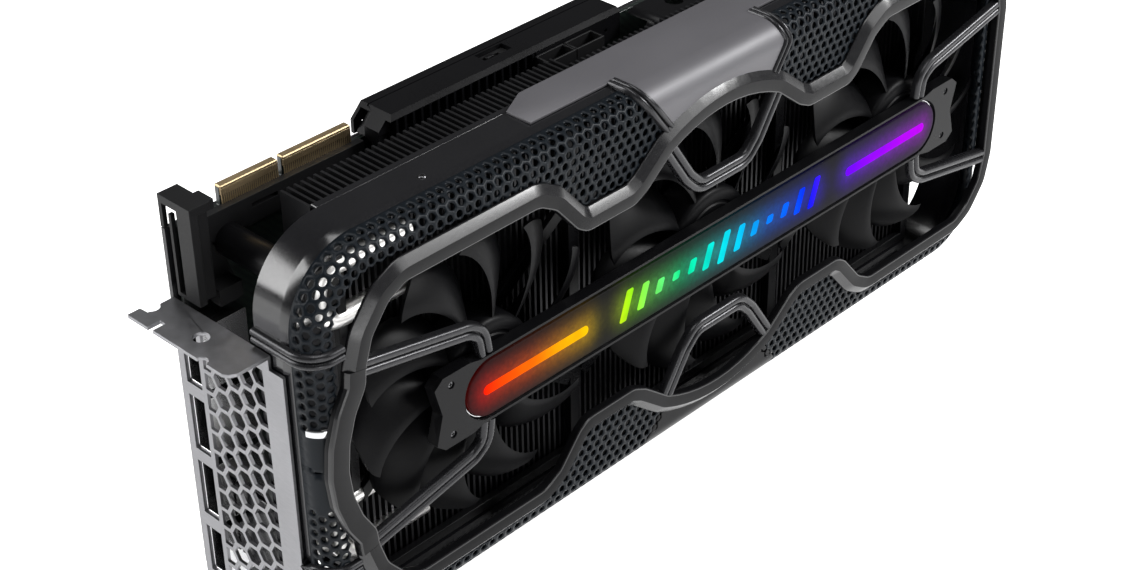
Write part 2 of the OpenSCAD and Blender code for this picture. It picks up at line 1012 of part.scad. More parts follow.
half_bar = [[98, bar_height / 2], [102, bar_height / 2 + 1], [112, bar_height / 2 + 1],
    [bar_half, 9], [112.6, 0]];
bar_points = concat(half_bar, flip_z([for (i = [0:3]) half_bar[i]]));

module bar_outline() {
    translate([mid_x, mid_z])
        polygon(concat(bar_points, flip_x(flip_z(bar_points))));
}

// Capsule in X and Z about the middle of the card.
module capsule(half, radius) {
    translate([mid_x, mid_z]) {
        square([2 * (half - radius), 2 * radius], center = true);
        for (side = [-1, 1])
            translate([side * (half - radius), 0])
                circle(r = radius);
    }
}

module light_bar_housing() {
    color(black_plastic)
        difference() {
            facing(bar_back_y, 4)
                bar_outline();
            facing(bar_back_y - 1, 6)
                capsule(lens_half, lens_radius);
            for (side = [-1, 1])
                for (h = [-8, 8])
                    translate([mid_x + side * 109, -50, mid_z + h])
                        rotate([90, 0, 0])
                            cylinder(r = 1.1, h = 20, $fn = 24);
        }
}

module lamp_board() {
    color([0.08, 0.1, 0.09])
        facing(bar_back_y - 1, 0.8)
            capsule(lens_half - 0.3, lens_radius - 0.3);
    color([0.9, 0.9, 0.85])
        for (i = [-15:15])
            block([mid_x + 6.2 * i - 1.2, bar_back_y - 2.4, mid_z - 1.2],
                [mid_x + 6.2 * i + 1.2, bar_back_y - 1.8, mid_z + 1.2]);
}

module light_bar_lens() {
    color([0.12, 0.12, 0.14])
        difference() {
            facing(bar_back_y - 2.6, 1.6)
                capsule(lens_half - 0.9, lens_radius - 0.9);
            light_shapes(bar_back_y - 3.4, 3);
        }
}

module light_bar_trim() {
    color(chrome)
        facing(bar_back_y - 2.6, 1.8)
            difference() {
                capsule(lens_half - 0.1, lens_radius - 0.1);
                capsule(lens_half - 0.9, lens_radius - 0.9);
            }
}

// The bright shapes in the lens, as solid prisms.
module light_shapes(y, depth) {
    line_prisms(y, depth);
    motif_prisms(y, depth);
}

module line_prisms(y, depth) {
    length = line_far - line_near;
    facing(y, depth)
        for (side = [-1, 1])
            translate([side * (line_near + line_far) / 2, 0])
                capsule(length / 2, line_radius);
}

// A row of leaning bars that grow and shrink like a wave.
module motif_prisms(y, depth) {
    step = 7;
    facing(y, depth)
        for (i = [-6:6])
            translate([mid_x + step * i, mid_z])
                polygon(motif_bar(3.2 + 1.8 * cos(i * 60)));
}

function motif_bar(h) = [[-1.5 - h / 3, -h], [1.5 - h / 3, -h], [1.5 + h / 3, h], [-1.5 + h / 3, h]];

module light_lines() {
    color([1, 0.4, 0.2])
        line_prisms(bar_back_y - 3.4, 1.1);
}

module light_motif() {
    color([0.2, 0.9, 0.8])
        motif_prisms(bar_back_y - 3.4, 1.1);
}

// ---------------------------------------------------------------- fans

module fan_carrier() {
    post = 4;
    low = floor_level + shell_wall + 0.6;
    high = top_level - shell_wall - 1.6;
    right = shell_right - shell_wall - 1;
    edge = 3;
    color(black_plastic)
        difference() {
            union() {
                block([corner_radius, carrier_y - carrier_sheet, low], [right - 18, carrier_y, high]);
                block([12, carrier_y - carrier_sheet, 6], [corner_radius + edge, carrier_y, 18]);
            }
            for (i = [0:2])
                block([max(corner_radius + edge, fan_x[i] - fan_pitch / 2 + post / 2), -50, low + edge],
                    [min(right - 18 - edge, fan_x[i] + fan_pitch / 2 - post / 2), -30, high - edge]);
        }
}

// Tilted blade along +X, clipped to the tip circle afterwards.
module blade() {
    tilt = 26;
    sheet = 1.3;
    rotate([tilt, 0, 0])
        translate([0, 0, -sheet / 2])
            linear_extrude(sheet)
                polygon([[14, -6], [26, -9], [fan_radius + 3, -12], [fan_radius + 3, 8],
                    [30, 10], [14, 7]]);
}

module fan_rotor(i) {
    hub = 17;
    hub_wall = 1.5;
    shaft_radius = 1.5;
    color([0.09, 0.09, 0.095])
        translate([fan_x[i], rotor_back_y, mid_z])
            rotate([90, 0, 0]) {
                intersection() {
                    for (n = [0:blade_count - 1])
                        rotate([0, 0, n * 360 / blade_count])
                            translate([0, 0, rotor_depth / 2])
                                blade();
                    difference() {
                        cylinder(r = fan_radius, h = rotor_depth - 0.4);
                        translate([0, 0, -1])
                            cylinder(r = hub - 0.2, h = rotor_depth + 2);
                    }
                }
                difference() {
                    cylinder(r = hub, h = rotor_depth);
                    translate([0, 0, -1])
                        cylinder(r = hub - hub_wall, h = rotor_depth - hub_wall + 1);
                }
                cylinder(r = shaft_radius, h = rotor_depth - 0.5);
            }
}

module fan_1_rotor() {
    fan_rotor(0);
}

module fan_2_rotor() {
    fan_rotor(1);
}

module fan_3_rotor() {
    fan_rotor(2);
}

module fan_mount(i) {
    disc = 15.5;
    y = carrier_y - carrier_sheet + 1;
    color(black_plastic)
        difference() {
            union() {
                bar_y(fan_x[i], mid_z, disc, y, rotor_back_y + 0.5);
                for (angle = [35, 145, 215, 325])
                    translate([fan_x[i], y, mid_z])
                        rotate([90, 0, 0])
                            rotate([0, 0, angle])
                                block([disc - 1, -2, 0], [52, 2, 1.8]);
            }
            bar_y(fan_x[i], mid_z, 3.6, -30, -50);
            fan_mount_trim(i);
        }
}

// Cuts the arms where they meet the carrier's posts.
module fan_mount_trim(i) {
    half = fan_pitch / 2 - 2.05;
    left_reach = i == 0 ? fan_x[0] - corner_radius - 3.05 : half;
    right_reach = i == 2 ? shell_right - shell_wall - 22.05 - fan_x[2] : half;
    block([fan_x[i] - 90, -50, -100], [fan_x[i] - min(half, left_reach), -30, 40]);
    block([fan_x[i] + min(half, right_reach), -50, -100], [fan_x[i] + 90, -30, 40]);
}

module fan_1_mount() {
    fan_mount(0);
}

module fan_2_mount() {
    fan_mount(1);
}

module fan_3_mount() {
    fan_mount(2);
}

module fan_bearings() {
    bore = 1.54;
    color(steel)
        for (x = fan_x)
            difference() {
                bar_y(x, mid_z, 3.6, rotor_back_y + 2.6, rotor_back_y - 8.6);
                bar_y(x, mid_z, bore, rotor_back_y + 1.5, rotor_back_y - 12);
            }
}

module fan_stators() {
    color(copper)
        for (x = fan_x)
            difference() {
                bar_y(x, mid_z, 12.5, rotor_back_y - 1, rotor_back_y - 8);
                bar_y(x, mid_z, 3.6, -30, -60);
            }
}

// Small screws along Y with their heads towards the fans.
module case_screws() {
    color(steel) {
        for (side = [-1, 1])
            for (h = [-8, 8])
                bar_y(mid_x + side * 109, mid_z + h, 1.05, bar_back_y - 0.5, bar_back_y - 3.6);
        for (spot = plate_screw_spots)
            translate([spot[0], spot[1], top_level - 1])
                cylinder(r = 1.05, h = 1.4);
    }
}

io_bracket();
display_sockets();
wide_video_socket();
socket_tongues();
circuit_board();
bridge_contacts();
slot_contacts();
backplate();
backplate_screws();
retention_plate();
spring_screws();
processor_package();
memory_chips();
power_chokes();
capacitors();
thermal_pads();
cold_plate();
base_plate();
heat_pipes();
fin_stack();
middle_frame();
edge_rail();
support_post();
rear_cover();
mode_switch_body();
mode_switch_slider();
power_sockets();
power_pins();
shroud_shell();
case_screws();
mesh_top_left();
mesh_top_right();
mesh_bottom_left();
mesh_bottom_right();
shield_plate();
shield_beads();
bottom_wrap();
front_frame();
c_ring();
left_struts();
right_struts();
top_loop();
bottom_loop();
end_beads();
light_bar_housing();
light_bar_lens();
light_bar_trim();
light_lines();
light_motif();
lamp_board();
fan_carrier();
fan_1_rotor();
fan_1_mount();
fan_2_rotor();
fan_2_mount();
fan_3_rotor();
fan_3_mount();
fan_bearings();
fan_stators();
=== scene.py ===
from math import atan2, cos, degrees, pi, radians, sin, sqrt, tan

import bmesh
import bpy
from mathutils import Euler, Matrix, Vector


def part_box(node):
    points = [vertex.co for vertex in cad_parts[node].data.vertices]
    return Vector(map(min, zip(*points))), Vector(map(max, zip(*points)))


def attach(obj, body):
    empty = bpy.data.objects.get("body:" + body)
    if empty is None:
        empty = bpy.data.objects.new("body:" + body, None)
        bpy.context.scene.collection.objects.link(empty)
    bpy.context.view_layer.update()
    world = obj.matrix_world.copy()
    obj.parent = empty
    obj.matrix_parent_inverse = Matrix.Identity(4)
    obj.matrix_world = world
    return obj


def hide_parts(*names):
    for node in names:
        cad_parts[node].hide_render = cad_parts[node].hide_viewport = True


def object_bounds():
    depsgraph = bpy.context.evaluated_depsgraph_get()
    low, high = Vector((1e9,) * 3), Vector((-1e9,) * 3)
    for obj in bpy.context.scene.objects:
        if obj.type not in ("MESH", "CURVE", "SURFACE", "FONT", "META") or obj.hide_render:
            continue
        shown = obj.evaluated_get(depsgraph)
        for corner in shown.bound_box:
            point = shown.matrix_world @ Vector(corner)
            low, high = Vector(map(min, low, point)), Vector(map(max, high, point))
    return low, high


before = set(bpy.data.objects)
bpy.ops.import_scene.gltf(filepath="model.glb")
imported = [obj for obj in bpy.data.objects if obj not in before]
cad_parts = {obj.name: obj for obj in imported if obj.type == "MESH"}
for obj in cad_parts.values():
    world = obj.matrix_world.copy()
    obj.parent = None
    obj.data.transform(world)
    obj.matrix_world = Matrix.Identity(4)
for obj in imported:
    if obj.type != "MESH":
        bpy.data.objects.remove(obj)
cad_low, cad_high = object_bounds()

# ---------------- layout, in millimetres

MM = 0.001


def box_mm(node):
    """Lowest and highest corner of a CAD node, in millimetres."""
    low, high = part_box(node)
    return low / MM, high / MM


def middle_of(low, high):
    """Middle of a box, as a list of X, Y and Z."""
    return [(a + b) / 2 for a, b in zip(low, high)]


bar_low, bar_high = box_mm("light_bar_housing")
shell_low, shell_high = box_mm("shroud_shell")
ring_low, ring_high = box_mm("c_ring")
rotor_low, rotor_high = box_mm("fan_1_rotor")
MID_X, _, MID_Z = middle_of(bar_low, bar_high)
TOP, FLOOR = shell_high.z, shell_low.z
LEFT, RIGHT = shell_low.x, shell_high.x
SHELL_BACK, SHELL_FRONT = -32.6, shell_low.y
FRAME_BACK, FRAME_FRONT = ring_high.y, ring_low.y
CORNER = 22.0
PROFILE_Y = SHELL_FRONT - 0.1
PROFILE_R = PROFILE_Y - FRAME_BACK
FAN_R = (rotor_high.z - rotor_low.z) / 2
SHIELD_HALF = 63.5

# ---------------- materials


class Look:
    """A material's node tree with short ways to add and join nodes."""

    def __init__(self, name):
        self.material = bpy.data.materials.new(name)
        self.material.use_nodes = True
        self.tree = self.material.node_tree
        self.place = self.node("ShaderNodeTexCoord").outputs["Object"]

    def node(self, kind, **settings):
        made = self.tree.nodes.new(kind)
        for key, value in settings.items():
            setattr(made, key, value)
        return made

    def join(self, start, end):
        self.tree.links.new(start, end)

    def fill(self, socket, value):
        """Sets a socket to a number, or links it to another node's output."""
        if hasattr(value, "is_linked"):
            self.join(value, socket)
        else:
            socket.default_value = value

    def finish(self, values):
        """Fills the shader's sockets by name and gives back the material."""
        for name, value in values.items():
            self.fill(self.tree.nodes["Principled BSDF"].inputs[name], value)
        return self.material

    def math(self, operation, a, b=0.0):
        made = self.node("ShaderNodeMath", operation=operation)
        self.fill(made.inputs[0], a)
        self.fill(made.inputs[1], b)
        return made.outputs[0]

    def stretched(self, scale):
        """Object coordinates scaled by three factors."""
        made = self.node("ShaderNodeMapping")
        self.join(self.place, made.inputs["Vector"])
        made.inputs["Scale"].default_value = scale
        return made.outputs[0]

    def noise(self, scale, detail, place=None):
        made = self.node("ShaderNodeTexNoise")
        self.join(place or self.place, made.inputs["Vector"])
        made.inputs["Scale"].default_value = scale
        made.inputs["Detail"].default_value = detail
        return made.outputs["Fac"]

    def ramp(self, factor, stops):
        """A colour ramp from a list of (position, colour)."""
        made = self.node("ShaderNodeValToRGB")
        elements = made.color_ramp.elements
        while len(elements) < len(stops):
            elements.new(0.5)
        for element, (position, color) in zip(elements, stops):
            element.position = position
            element.color = (*color, 1)
        self.join(factor, made.inputs["Fac"])
        return made.outputs["Color"]

    def spread(self, factor, low, high):
        """Maps 0.3..0.7 of a noise onto low..high."""
        made = self.node("ShaderNodeMapRange")
        self.join(factor, made.inputs["Value"])
        for name, value in zip(("From Min", "From Max", "To Min", "To Max"), (0.3, 0.7, low, high)):
            made.inputs[name].default_value = value
        return made.outputs[0]

    def bump(self, height, distance, strength):
        """A normal from a height pattern, with a depth in metres."""
        made = self.node("ShaderNodeBump")
        self.join(height, made.inputs["Height"])
        made.inputs["Distance"].default_value = distance
        made.inputs["Strength"].default_value = strength
        return made.outputs[0]


def shaded(color, amount):
    """A colour made darker or lighter by a factor."""
    return tuple(min(1.0, channel * amount) for channel in color)


def surface(name, color, roughness, metallic=0.0, grain=2500, depth=0.00002, patches=0.12,
            stretch=None, specular=0.5):
    """A moulded, painted or brushed surface with grain, uneven gloss and faint patches."""
    look = Look(name)
    place = look.stretched(stretch) if stretch else look.place
    fine = look.noise(1.0 if stretch else grain, 4, place)
    broad = look.noise(45, 3)
    mixed = look.math("ADD", look.math("MULTIPLY", fine, 0.5), look.math("MULTIPLY", broad, 0.5))
    stops = [(0.32, shaded(color, 1 - patches)), (0.68, shaded(color, 1 + patches))]
    return look.finish({
        "Base Color": look.ramp(mixed, stops),
        "Roughness": look.spread(mixed, roughness - 0.05, roughness + 0.07),
        "Metallic": metallic,
        "Specular IOR Level": specular,
        "Normal": look.bump(fine, depth, 0.35),
    })


def brushed(name, color, roughness, stretch, metallic=1.0):
    """Bare metal with fine lines along the axis of the smallest stretch."""
    return surface(name, color, roughness, metallic, depth=0.00001, patches=0.16, stretch=stretch)


def board_look():
    """Dark solder resist over fine traces."""
    look = Look("board_resist")
    cells = look.node("ShaderNodeTexVoronoi", distance="MANHATTAN", feature="F1")
    look.join(look.place, cells.inputs["Vector"])
    cells.inputs["Scale"].default_value = 420
    traces = look.node("ShaderNodeTexWave", wave_type="BANDS", bands_direction="DIAGONAL")
    look.join(look.place, traces.inputs["Vector"])
    traces.inputs["Scale"].default_value = 240
    traces.inputs["Distortion"].default_value = 3.0
    mixed = look.math("MULTIPLY", cells.outputs["Distance"], traces.outputs["Fac"])
    return look.finish({
        "Base Color": look.ramp(mixed, [(0.0, (0.004, 0.007, 0.006)), (0.5, (0.012, 0.018, 0.015))]),
        "Roughness": 0.32,
        "Normal": look.bump(mixed, 0.00004, 0.5),
    })


# Colours along the light bar, from the bracket end to the far end.
RAINBOW = [(0.0, (1.0, 0.01, 0.0)), (0.09, (1.0, 0.14, 0.0)), (0.21, (1.0, 0.6, 0.0)),
           (0.3, (0.3, 0.9, 0.01)), (0.4, (0.0, 0.85, 0.28)), (0.5, (0.0, 0.7, 0.8)),
           (0.6, (0.0, 0.2, 1.0)), (0.7, (0.0, 0.01, 1.0)), (0.8, (0.16, 0.0, 1.0)),
           (1.0, (0.55, 0.0, 0.9))]
# Ends of the two lit lines and half the lit motif, measured from the middle of the card.
LINE_NEAR, LINE_FAR, MOTIF_HALF = 57.5, 98.0, 44.0
# Radius of the halo round the lit shapes, and how far from their ends it starts to fade.
HALO_RADIUS, HALO_END = 5.2, 2.0


def along_bar(look):
    """The rainbow along the light bar, from the object's own X."""
    parts = look.node("ShaderNodeSeparateXYZ")
    look.join(look.place, parts.inputs[0])
    span = look.node("ShaderNodeMapRange")
    look.join(parts.outputs["X"], span.inputs["Value"])
    span.inputs["From Min"].default_value = (MID_X - LINE_FAR) * MM
    span.inputs["From Max"].default_value = (MID_X + LINE_FAR) * MM
    return look.ramp(span.outputs[0], RAINBOW), parts


def lit_look(name, strength):
    """A glowing light guide, a little uneven along its length."""
    look = Look(name)
    color, _ = along_bar(look)
    return look.finish({
        "Base Color": (0.002, 0.002, 0.002, 1),
        "Roughness": 0.3,
        "Specular IOR Level": 0.0,
        "Emission Color": color,
        "Emission Strength": look.spread(look.noise(160, 2), strength * 0.85, strength * 1.15),
    })


def lens_look():
    """Smoked plastic that carries a soft halo of the light round each lit shape."""
    look = Look("smoked_lens")
    color, parts = along_bar(look)
    rise = look.math("SUBTRACT", parts.outputs["Z"], MID_Z * MM)
    rise = look.math("MULTIPLY", rise, rise)
    halo = None
    spans = [(-LINE_FAR, -LINE_NEAR, 1.0), (-MOTIF_HALF, MOTIF_HALF, 0.85), (LINE_NEAR, LINE_FAR, 1.0)]
    for near, far, amount in spans:
        centre = (MID_X + (near + far) / 2) * MM
        half = ((far - near) / 2 - HALO_END) * MM
        run = look.math("ABSOLUTE", look.math("SUBTRACT", parts.outputs["X"], centre))
        run = look.math("MAXIMUM", look.math("SUBTRACT", run, half), 0.0)
        square = look.math("ADD", look.math("MULTIPLY", run, run), rise)
        fall = look.math("MULTIPLY", square, -1 / (HALO_RADIUS * MM) ** 2)
        glow = look.math("MULTIPLY", look.math("EXPONENT", fall), amount)
        halo = glow if halo is None else look.math("ADD", halo, glow)
    speckle = look.spread(look.noise(900, 2), 0.75, 1.1)
    return look.finish({
        "Base Color": (0.002, 0.002, 0.0025, 1),
        "Roughness": look.spread(look.noise(300, 3), 0.3, 0.38),
        "Specular IOR Level": 0.03,
        "Emission Color": color,
        "Emission Strength": look.math("MULTIPLY", look.math("MULTIPLY", halo, speckle), 0.34),
    })


SATIN = surface("satin_black", (0.0035, 0.0035, 0.004), 0.3, grain=1800, depth=0.000015, specular=0.1)
# A glossier black for the bevels, painted lighter than the satin black as a painted highlight along them.
EDGE_HIGHLIGHT = surface("polished_edge_painted_highlight", (0.01, 0.01, 0.011), 0.22, grain=1200, depth=0.000002, specular=0.42)
GLOSS = surface("gloss_black", (0.006, 0.006, 0.007), 0.16, grain=1200, depth=0.000006, specular=0.5)
MATTE = surface("matte_black", (0.0035, 0.0035, 0.004), 0.55, grain=2600, specular=0.2)
DARK_METAL = surface("dark_anodised", (0.012, 0.012, 0.014), 0.4, 0.3, grain=2200)
GRILLE = surface("grille_coat", (0.003, 0.005, 0.0075), 0.42, 0.1, grain=1500, specular=0.14)
SHIELD = surface("shield_grey", (0.082, 0.08, 0.087), 0.46, 0.2, grain=3200, patches=0.05)
BEAD = surface("dark_chrome", (0.017, 0.017, 0.019), 0.27, 0.5, grain=900, depth=0.000004)
FAN = surface("fan_plastic", (0.0024, 0.0024, 0.0028), 0.4, grain=900, depth=0.00003, patches=0.2,
              specular=0.08)
STEEL = brushed("bracket_steel", (0.235, 0.235, 0.245), 0.42, (300, 300, 3500))
SCREW = brushed("screw_steel", (0.12, 0.12, 0.125), 0.3, (2500, 2500, 2500))
BRIGHT = brushed("bright_spring", (0.6, 0.6, 0.61), 0.2, (2500, 2500, 2500))
NICKEL = brushed("nickel_pipe", (0.85, 0.84, 0.82), 0.34, (400, 2500, 2500))
FINS = brushed("fin_metal", (0.022, 0.022, 0.024), 0.36, (900, 2600, 120), 0.8)
COPPER = brushed("copper", (0.5, 0.22, 0.12), 0.3, (600, 2400, 600))
GOLD = brushed("gold_contacts", (0.45, 0.34, 0.2), 0.4, (600, 2400, 2400))
PAD = surface("thermal_pad", (0.12, 0.13, 0.16), 0.8)
CAN = brushed("capacitor_can", (0.4, 0.4, 0.42), 0.3, (300, 3000, 300))
BOARD = board_look()
LENS = lens_look()
LIT = lit_look("lit_guides", 1.15)

# ---------------- mesh helpers


def new_object(name, data):
    """An object for some data, in the scene."""
    made = bpy.data.objects.new(name, data)
    bpy.context.scene.collection.objects.link(made)
    return made


def second_look(made, material, chosen):
    """Gives the faces that a test picks out another material."""
    made.data.materials.append(material)
    for face in made.data.polygons:
        if chosen(face):
            face.material_index = 1


def soften(made, width, angle):
    """A small bevel along the edges that turn by more than an angle."""
    edge = made.modifiers.new("edge", "BEVEL")
    edge.width = width * MM
    edge.segments = 2
    edge.limit_method = "ANGLE"
    edge.angle_limit = radians(angle)
    return edge


class Build:
    """Collects several shapes into one list of points and faces, in millimetres."""

    def __init__(self):
        self.verts = []
        self.faces = []

    def add(self, verts, faces):
        start = len(self.verts)
        self.verts.extend(Vector(v) for v in verts)
        self.faces.extend([i + start for i in face] for face in faces)

    def piece(self, name, material, replaces, body="card", smooth=50, merge=0.004):
        """One mesh piece of all the shapes, riding on a body."""
        mesh = bpy.data.meshes.new(name)
        mesh.from_pydata([v * MM for v in self.verts], [], self.faces)
        made = new_object(name, mesh)
        work = bmesh.new()
        work.from_mesh(mesh)
        bmesh.ops.remove_doubles(work, verts=work.verts, dist=merge * MM)
        bmesh.ops.dissolve_degenerate(work, edges=work.edges, dist=0.0005 * MM)
        bmesh.ops.recalc_face_normals(work, faces=work.faces)
        work.to_mesh(mesh)
        work.free()
        mesh.shade_smooth()
        mesh.set_sharp_from_angle(angle=radians(smooth))
        mesh.materials.append(material)
        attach(made, body)
        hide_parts(replaces)
        return made


def grid_faces(rows, columns, loop_rows=False, loop_columns=False, start=0):
    """Four-sided faces between rows of points, which may close round either way."""
    faces = []
    for row in range(rows if loop_rows else rows - 1):
        here = start + row * columns
        there = start + (row + 1) % rows * columns
        for column in range(columns if loop_columns else columns - 1):
            after = (column + 1) % columns
            faces.append([here + column, here + after, there + after, there + column])
    return faces


def rounded(points, radius, closed=True, step=9):
    """A path of 2-D points with its corners turned into arcs."""
    points = [Vector(p) for p in points]
    count = len(points)
    path = []
    for i, corner in enumerate(points):
        back = points[i - 1] - corner
        ahead = points[(i + 1) % count] - corner
        turn = pi - back.angle(ahead)
        if turn < 0.02 or not closed and i in (0, count - 1):
            path.append(corner)
            continue
        cut = min(radius * tan(turn / 2), 0.46 * back.length, 0.46 * ahead.length)
        arc_radius = cut / tan(turn / 2)
        middle = corner + (back.normalized() + ahead.normalized()).normalized() * arc_radius / cos(turn / 2)
        start = corner + back.normalized() * cut - middle
        end = corner + ahead.normalized() * cut - middle
        first = atan2(start.y, start.x)
        sweep_angle = (atan2(end.y, end.x) - first + pi) % (2 * pi) - pi
        steps = max(2, int(degrees(abs(sweep_angle)) / step) + 1)
        for k in range(steps + 1):
            a = first + sweep_angle * k / steps
            path.append(middle + Vector((cos(a), sin(a))) * arc_radius)
    return path


def sweep(points, normals, profile, closed=False):
    """Moves a closed profile of (side, lift) along 3-D points, lift along each point's normal."""
    points = [Vector(p) for p in points]
    count = len(points)
    size = len(profile)
    verts = []
    for i, point in enumerate(points):
        back = points[i - 1] if closed or i else point
        ahead = points[(i + 1) % count] if closed or i < count - 1 else point
        normal = Vector(normals[i]).normalized()
        # The mean of the two directions, with the mitre that keeps the sweep's width.
        before = (point - back).normalized() if point != back else (ahead - point).normalized()
        after = (ahead - point).normalized() if point != ahead else before
        tangent = (before + after).normalized()
        side = tangent.cross(normal).normalized()
        stretch = 1 / max(0.5, before.cross(normal).normalized().dot(side))
        verts.extend(point + side * a * stretch + normal * b for a, b in profile)
    faces = grid_faces(count, size, loop_rows=closed, loop_columns=True)
    if not closed:
        faces.append(list(range(size)))
        faces.append(list(range((count - 1) * size, count * size)))
    return verts, faces


def flat_sweep(path, y, profile, closed=False):
    """A sweep along a path of (x, z) at one depth, lift towards the fans' side."""
    points = [(p[0], y, p[1]) for p in path]
    return sweep(points, [(0, -1, 0)] * len(points), profile, closed)


def bumps(width, rise, base, count=2, steps=6):
    """A profile of rounded beads side by side, on a base that reaches below them."""
    radius = width / (2 * count)
    profile = [(-width / 2, -base)]
    for n in range(count):
        middle = -width / 2 + radius * (2 * n + 1)
        for k in range(steps + 1):
            a = pi - pi * k / steps
            lift = rise * sin(a) ** 0.8 if 0 < k < steps else 0.0
            profile.append((middle + 0.96 * radius * cos(a), lift))
    profile.append((width / 2, -base))
    return profile


def circle(radius, steps):
    """Points of a circle round the origin."""
    return [(radius * cos(2 * pi * k / steps), radius * sin(2 * pi * k / steps)) for k in range(steps)]


def revolve(profile, centre, steps):
    """Turns a profile of (radius, y) about the Y axis through a point in X and Z."""
    verts = [(centre[0] + r * a, y, centre[1] + r * b) for a, b in circle(1, steps) for r, y in profile]
    return verts, grid_faces(steps, len(profile), loop_rows=True)


def layers(rings):
    """Joins closed rings of equal length in X and Z, given as (path, y)."""
    verts = [(p[0], y, p[1]) for path, y in rings for p in path]
    return verts, grid_faces(len(rings), len(rings[0][0]), loop_columns=True)


def prism(path, y_back, y_front, edge):
    """A flat plate of any outline in X and Z, with a small chamfer round its front."""
    count = len(path)
    verts, faces = layers([(path, y_back), (path, y_front + edge), (inset(path, edge), y_front)])
    faces.append(list(range(count)))
    faces.append(list(range(2 * count, 3 * count)))
    return verts, faces


def inset(path, distance):
    """A closed path of 2-D points moved towards its inside, with mitred corners."""
    path = [Vector(p) for p in path]
    area = sum(path[i - 1].x * p.y - p.x * path[i - 1].y for i, p in enumerate(path))
    turn = 1 if area > 0 else -1
    moved = []
    for i, point in enumerate(path):
        before = point - path[i - 1]
        after = path[(i + 1) % len(path)] - point
        if before.length < 1e-6 or after.length < 1e-6:
            moved.append(point)
            continue
        a = Vector((-before.y, before.x)).normalized() * turn
        b = Vector((-after.y, after.x)).normalized() * turn
        mean = (a + b).normalized()
        moved.append(point + mean * distance / max(0.4, mean.dot(a)))
    return moved


# ---------------- the frame's opening

# Distance from the middle of the card and height above it, from the middle fan to the end.
ARCH_HALF, ARCH_FOOT, ARCH_RISE = 23, 41.5, 5.5
HALF_OPENING = [(ARCH_HALF, ARCH_FOOT), (33, 33.5), (38, 31), (57, 31), (61, 33.5), (69, 43), (75, 46.5),
                (122, 46.5), (128, 43.5), (134, 36)]
# The ring's arc at the bracket end: its centre's distance from the middle, and its radius.
RING_MIDDLE, RING_RADIUS = 105.6, 38.9


def arch_height(x):
    """Height of the opening's arch over the middle fan."""
    return ARCH_FOOT + ARCH_RISE * (1 - (x / ARCH_HALF) ** 2)


def opening_points():
    """The opening as points about the middle of the card, anticlockwise from the left."""
    angles = [radians(12 * k) for k in range(-3, 4)]
    ring = [(-RING_MIDDLE - RING_RADIUS * cos(a), RING_RADIUS * sin(a)) for a in angles]
    left = [(-x, h) for x, h in reversed(HALF_OPENING + [(136.6, 28)])]
    arch = [(x, arch_height(x)) for x in (ARCH_HALF * i / 5 for i in range(-4, 5))]
    upper = left + arch + HALF_OPENING + [(136, 27)]
    lower = [(x, -h) for x, h in reversed(upper)]
    return [Vector((MID_X + x, MID_Z + h)) for x, h in ring + upper + lower]


OPENING = opening_points()
# Grille cells inside this outline would show in the opening, so they are left out.
GRILLE_STOP = inset(OPENING, -2.8)


def inside(point, path):
    """Whether a 2-D point lies inside a closed path."""
    hit = False
    for i, b in enumerate(path):
        a = path[i - 1]
        if (a[1] > point[1]) != (b[1] > point[1]):
            if point[0] < (b[0] - a[0]) * (point[1] - a[1]) / (b[1] - a[1]) + a[0]:
                hit = not hit
    return hit


# Profiles are (distance out from the opening, lift towards the fans' side).
FRAME_DEPTH = FRAME_BACK - FRAME_FRONT
INNER_EDGE = [(0.0, 0.0), (0.0, FRAME_DEPTH - 0.5), (0.15, FRAME_DEPTH - 0.15), (0.5, FRAME_DEPTH)]
FRAME_PROFILE = INNER_EDGE + [(3.9, FRAME_DEPTH), (4.15, FRAME_DEPTH - 0.15), (6.3, 0.75), (6.45, 0.4),
                              (6.45, 0.0)]
RING_PROFILE = INNER_EDGE + [(5.6, FRAME_DEPTH), (6.1, FRAME_DEPTH - 0.3), (6.45, 1.4), (6.45, 0.0)]
RING_HALF = 28.0
LIP_WIDTH, LIP_DEPTH, LIP_HALF = 1.4, 2.4, 30.0


def split_path():
    """The rounded opening path as two open runs: the main frame and the ring at the bracket end."""
    path = [p for p in rounded(OPENING, 7.0) if p.x > MID_X or abs(abs(p.y - MID_Z) - RING_HALF) > 0.3]
    ring_part = [abs(p.y - MID_Z) < RING_HALF and p.x < MID_X - 100 for p in path]
    start = next(i for i in range(len(path)) if ring_part[i] and not ring_part[i - 1])
    turned = path[start:] + path[:start]
    flags = ring_part[start:] + ring_part[:start]
    length = flags.index(False)
    ring, main = turned[:length], turned[length:]
    low, high = ring[0], ring[-1]
    before, after = main[-1], main[0]

    def at_level(a, b, level):
        return a.lerp(b, (level - a.y) / (b.y - a.y))

    low_cut = MID_Z - RING_HALF
    high_cut = MID_Z + RING_HALF
    ring = [at_level(before, low, low_cut + 0.1)] + ring + [at_level(high, after, high_cut - 0.1)]
    main = [at_level(high, after, high_cut)] + main + [at_level(before, low, low_cut)]
    return main, ring


def outward(profile):
    """The profile turned so that its side axis points away from the opening."""
    return [(-a, b) for a, b in profile]


def sloping(face):
    """Whether a face lies between a moulding's flat front and its sides; these faces get the painted
    highlight.
    """
    return 0.3 < -face.normal.y < 0.93


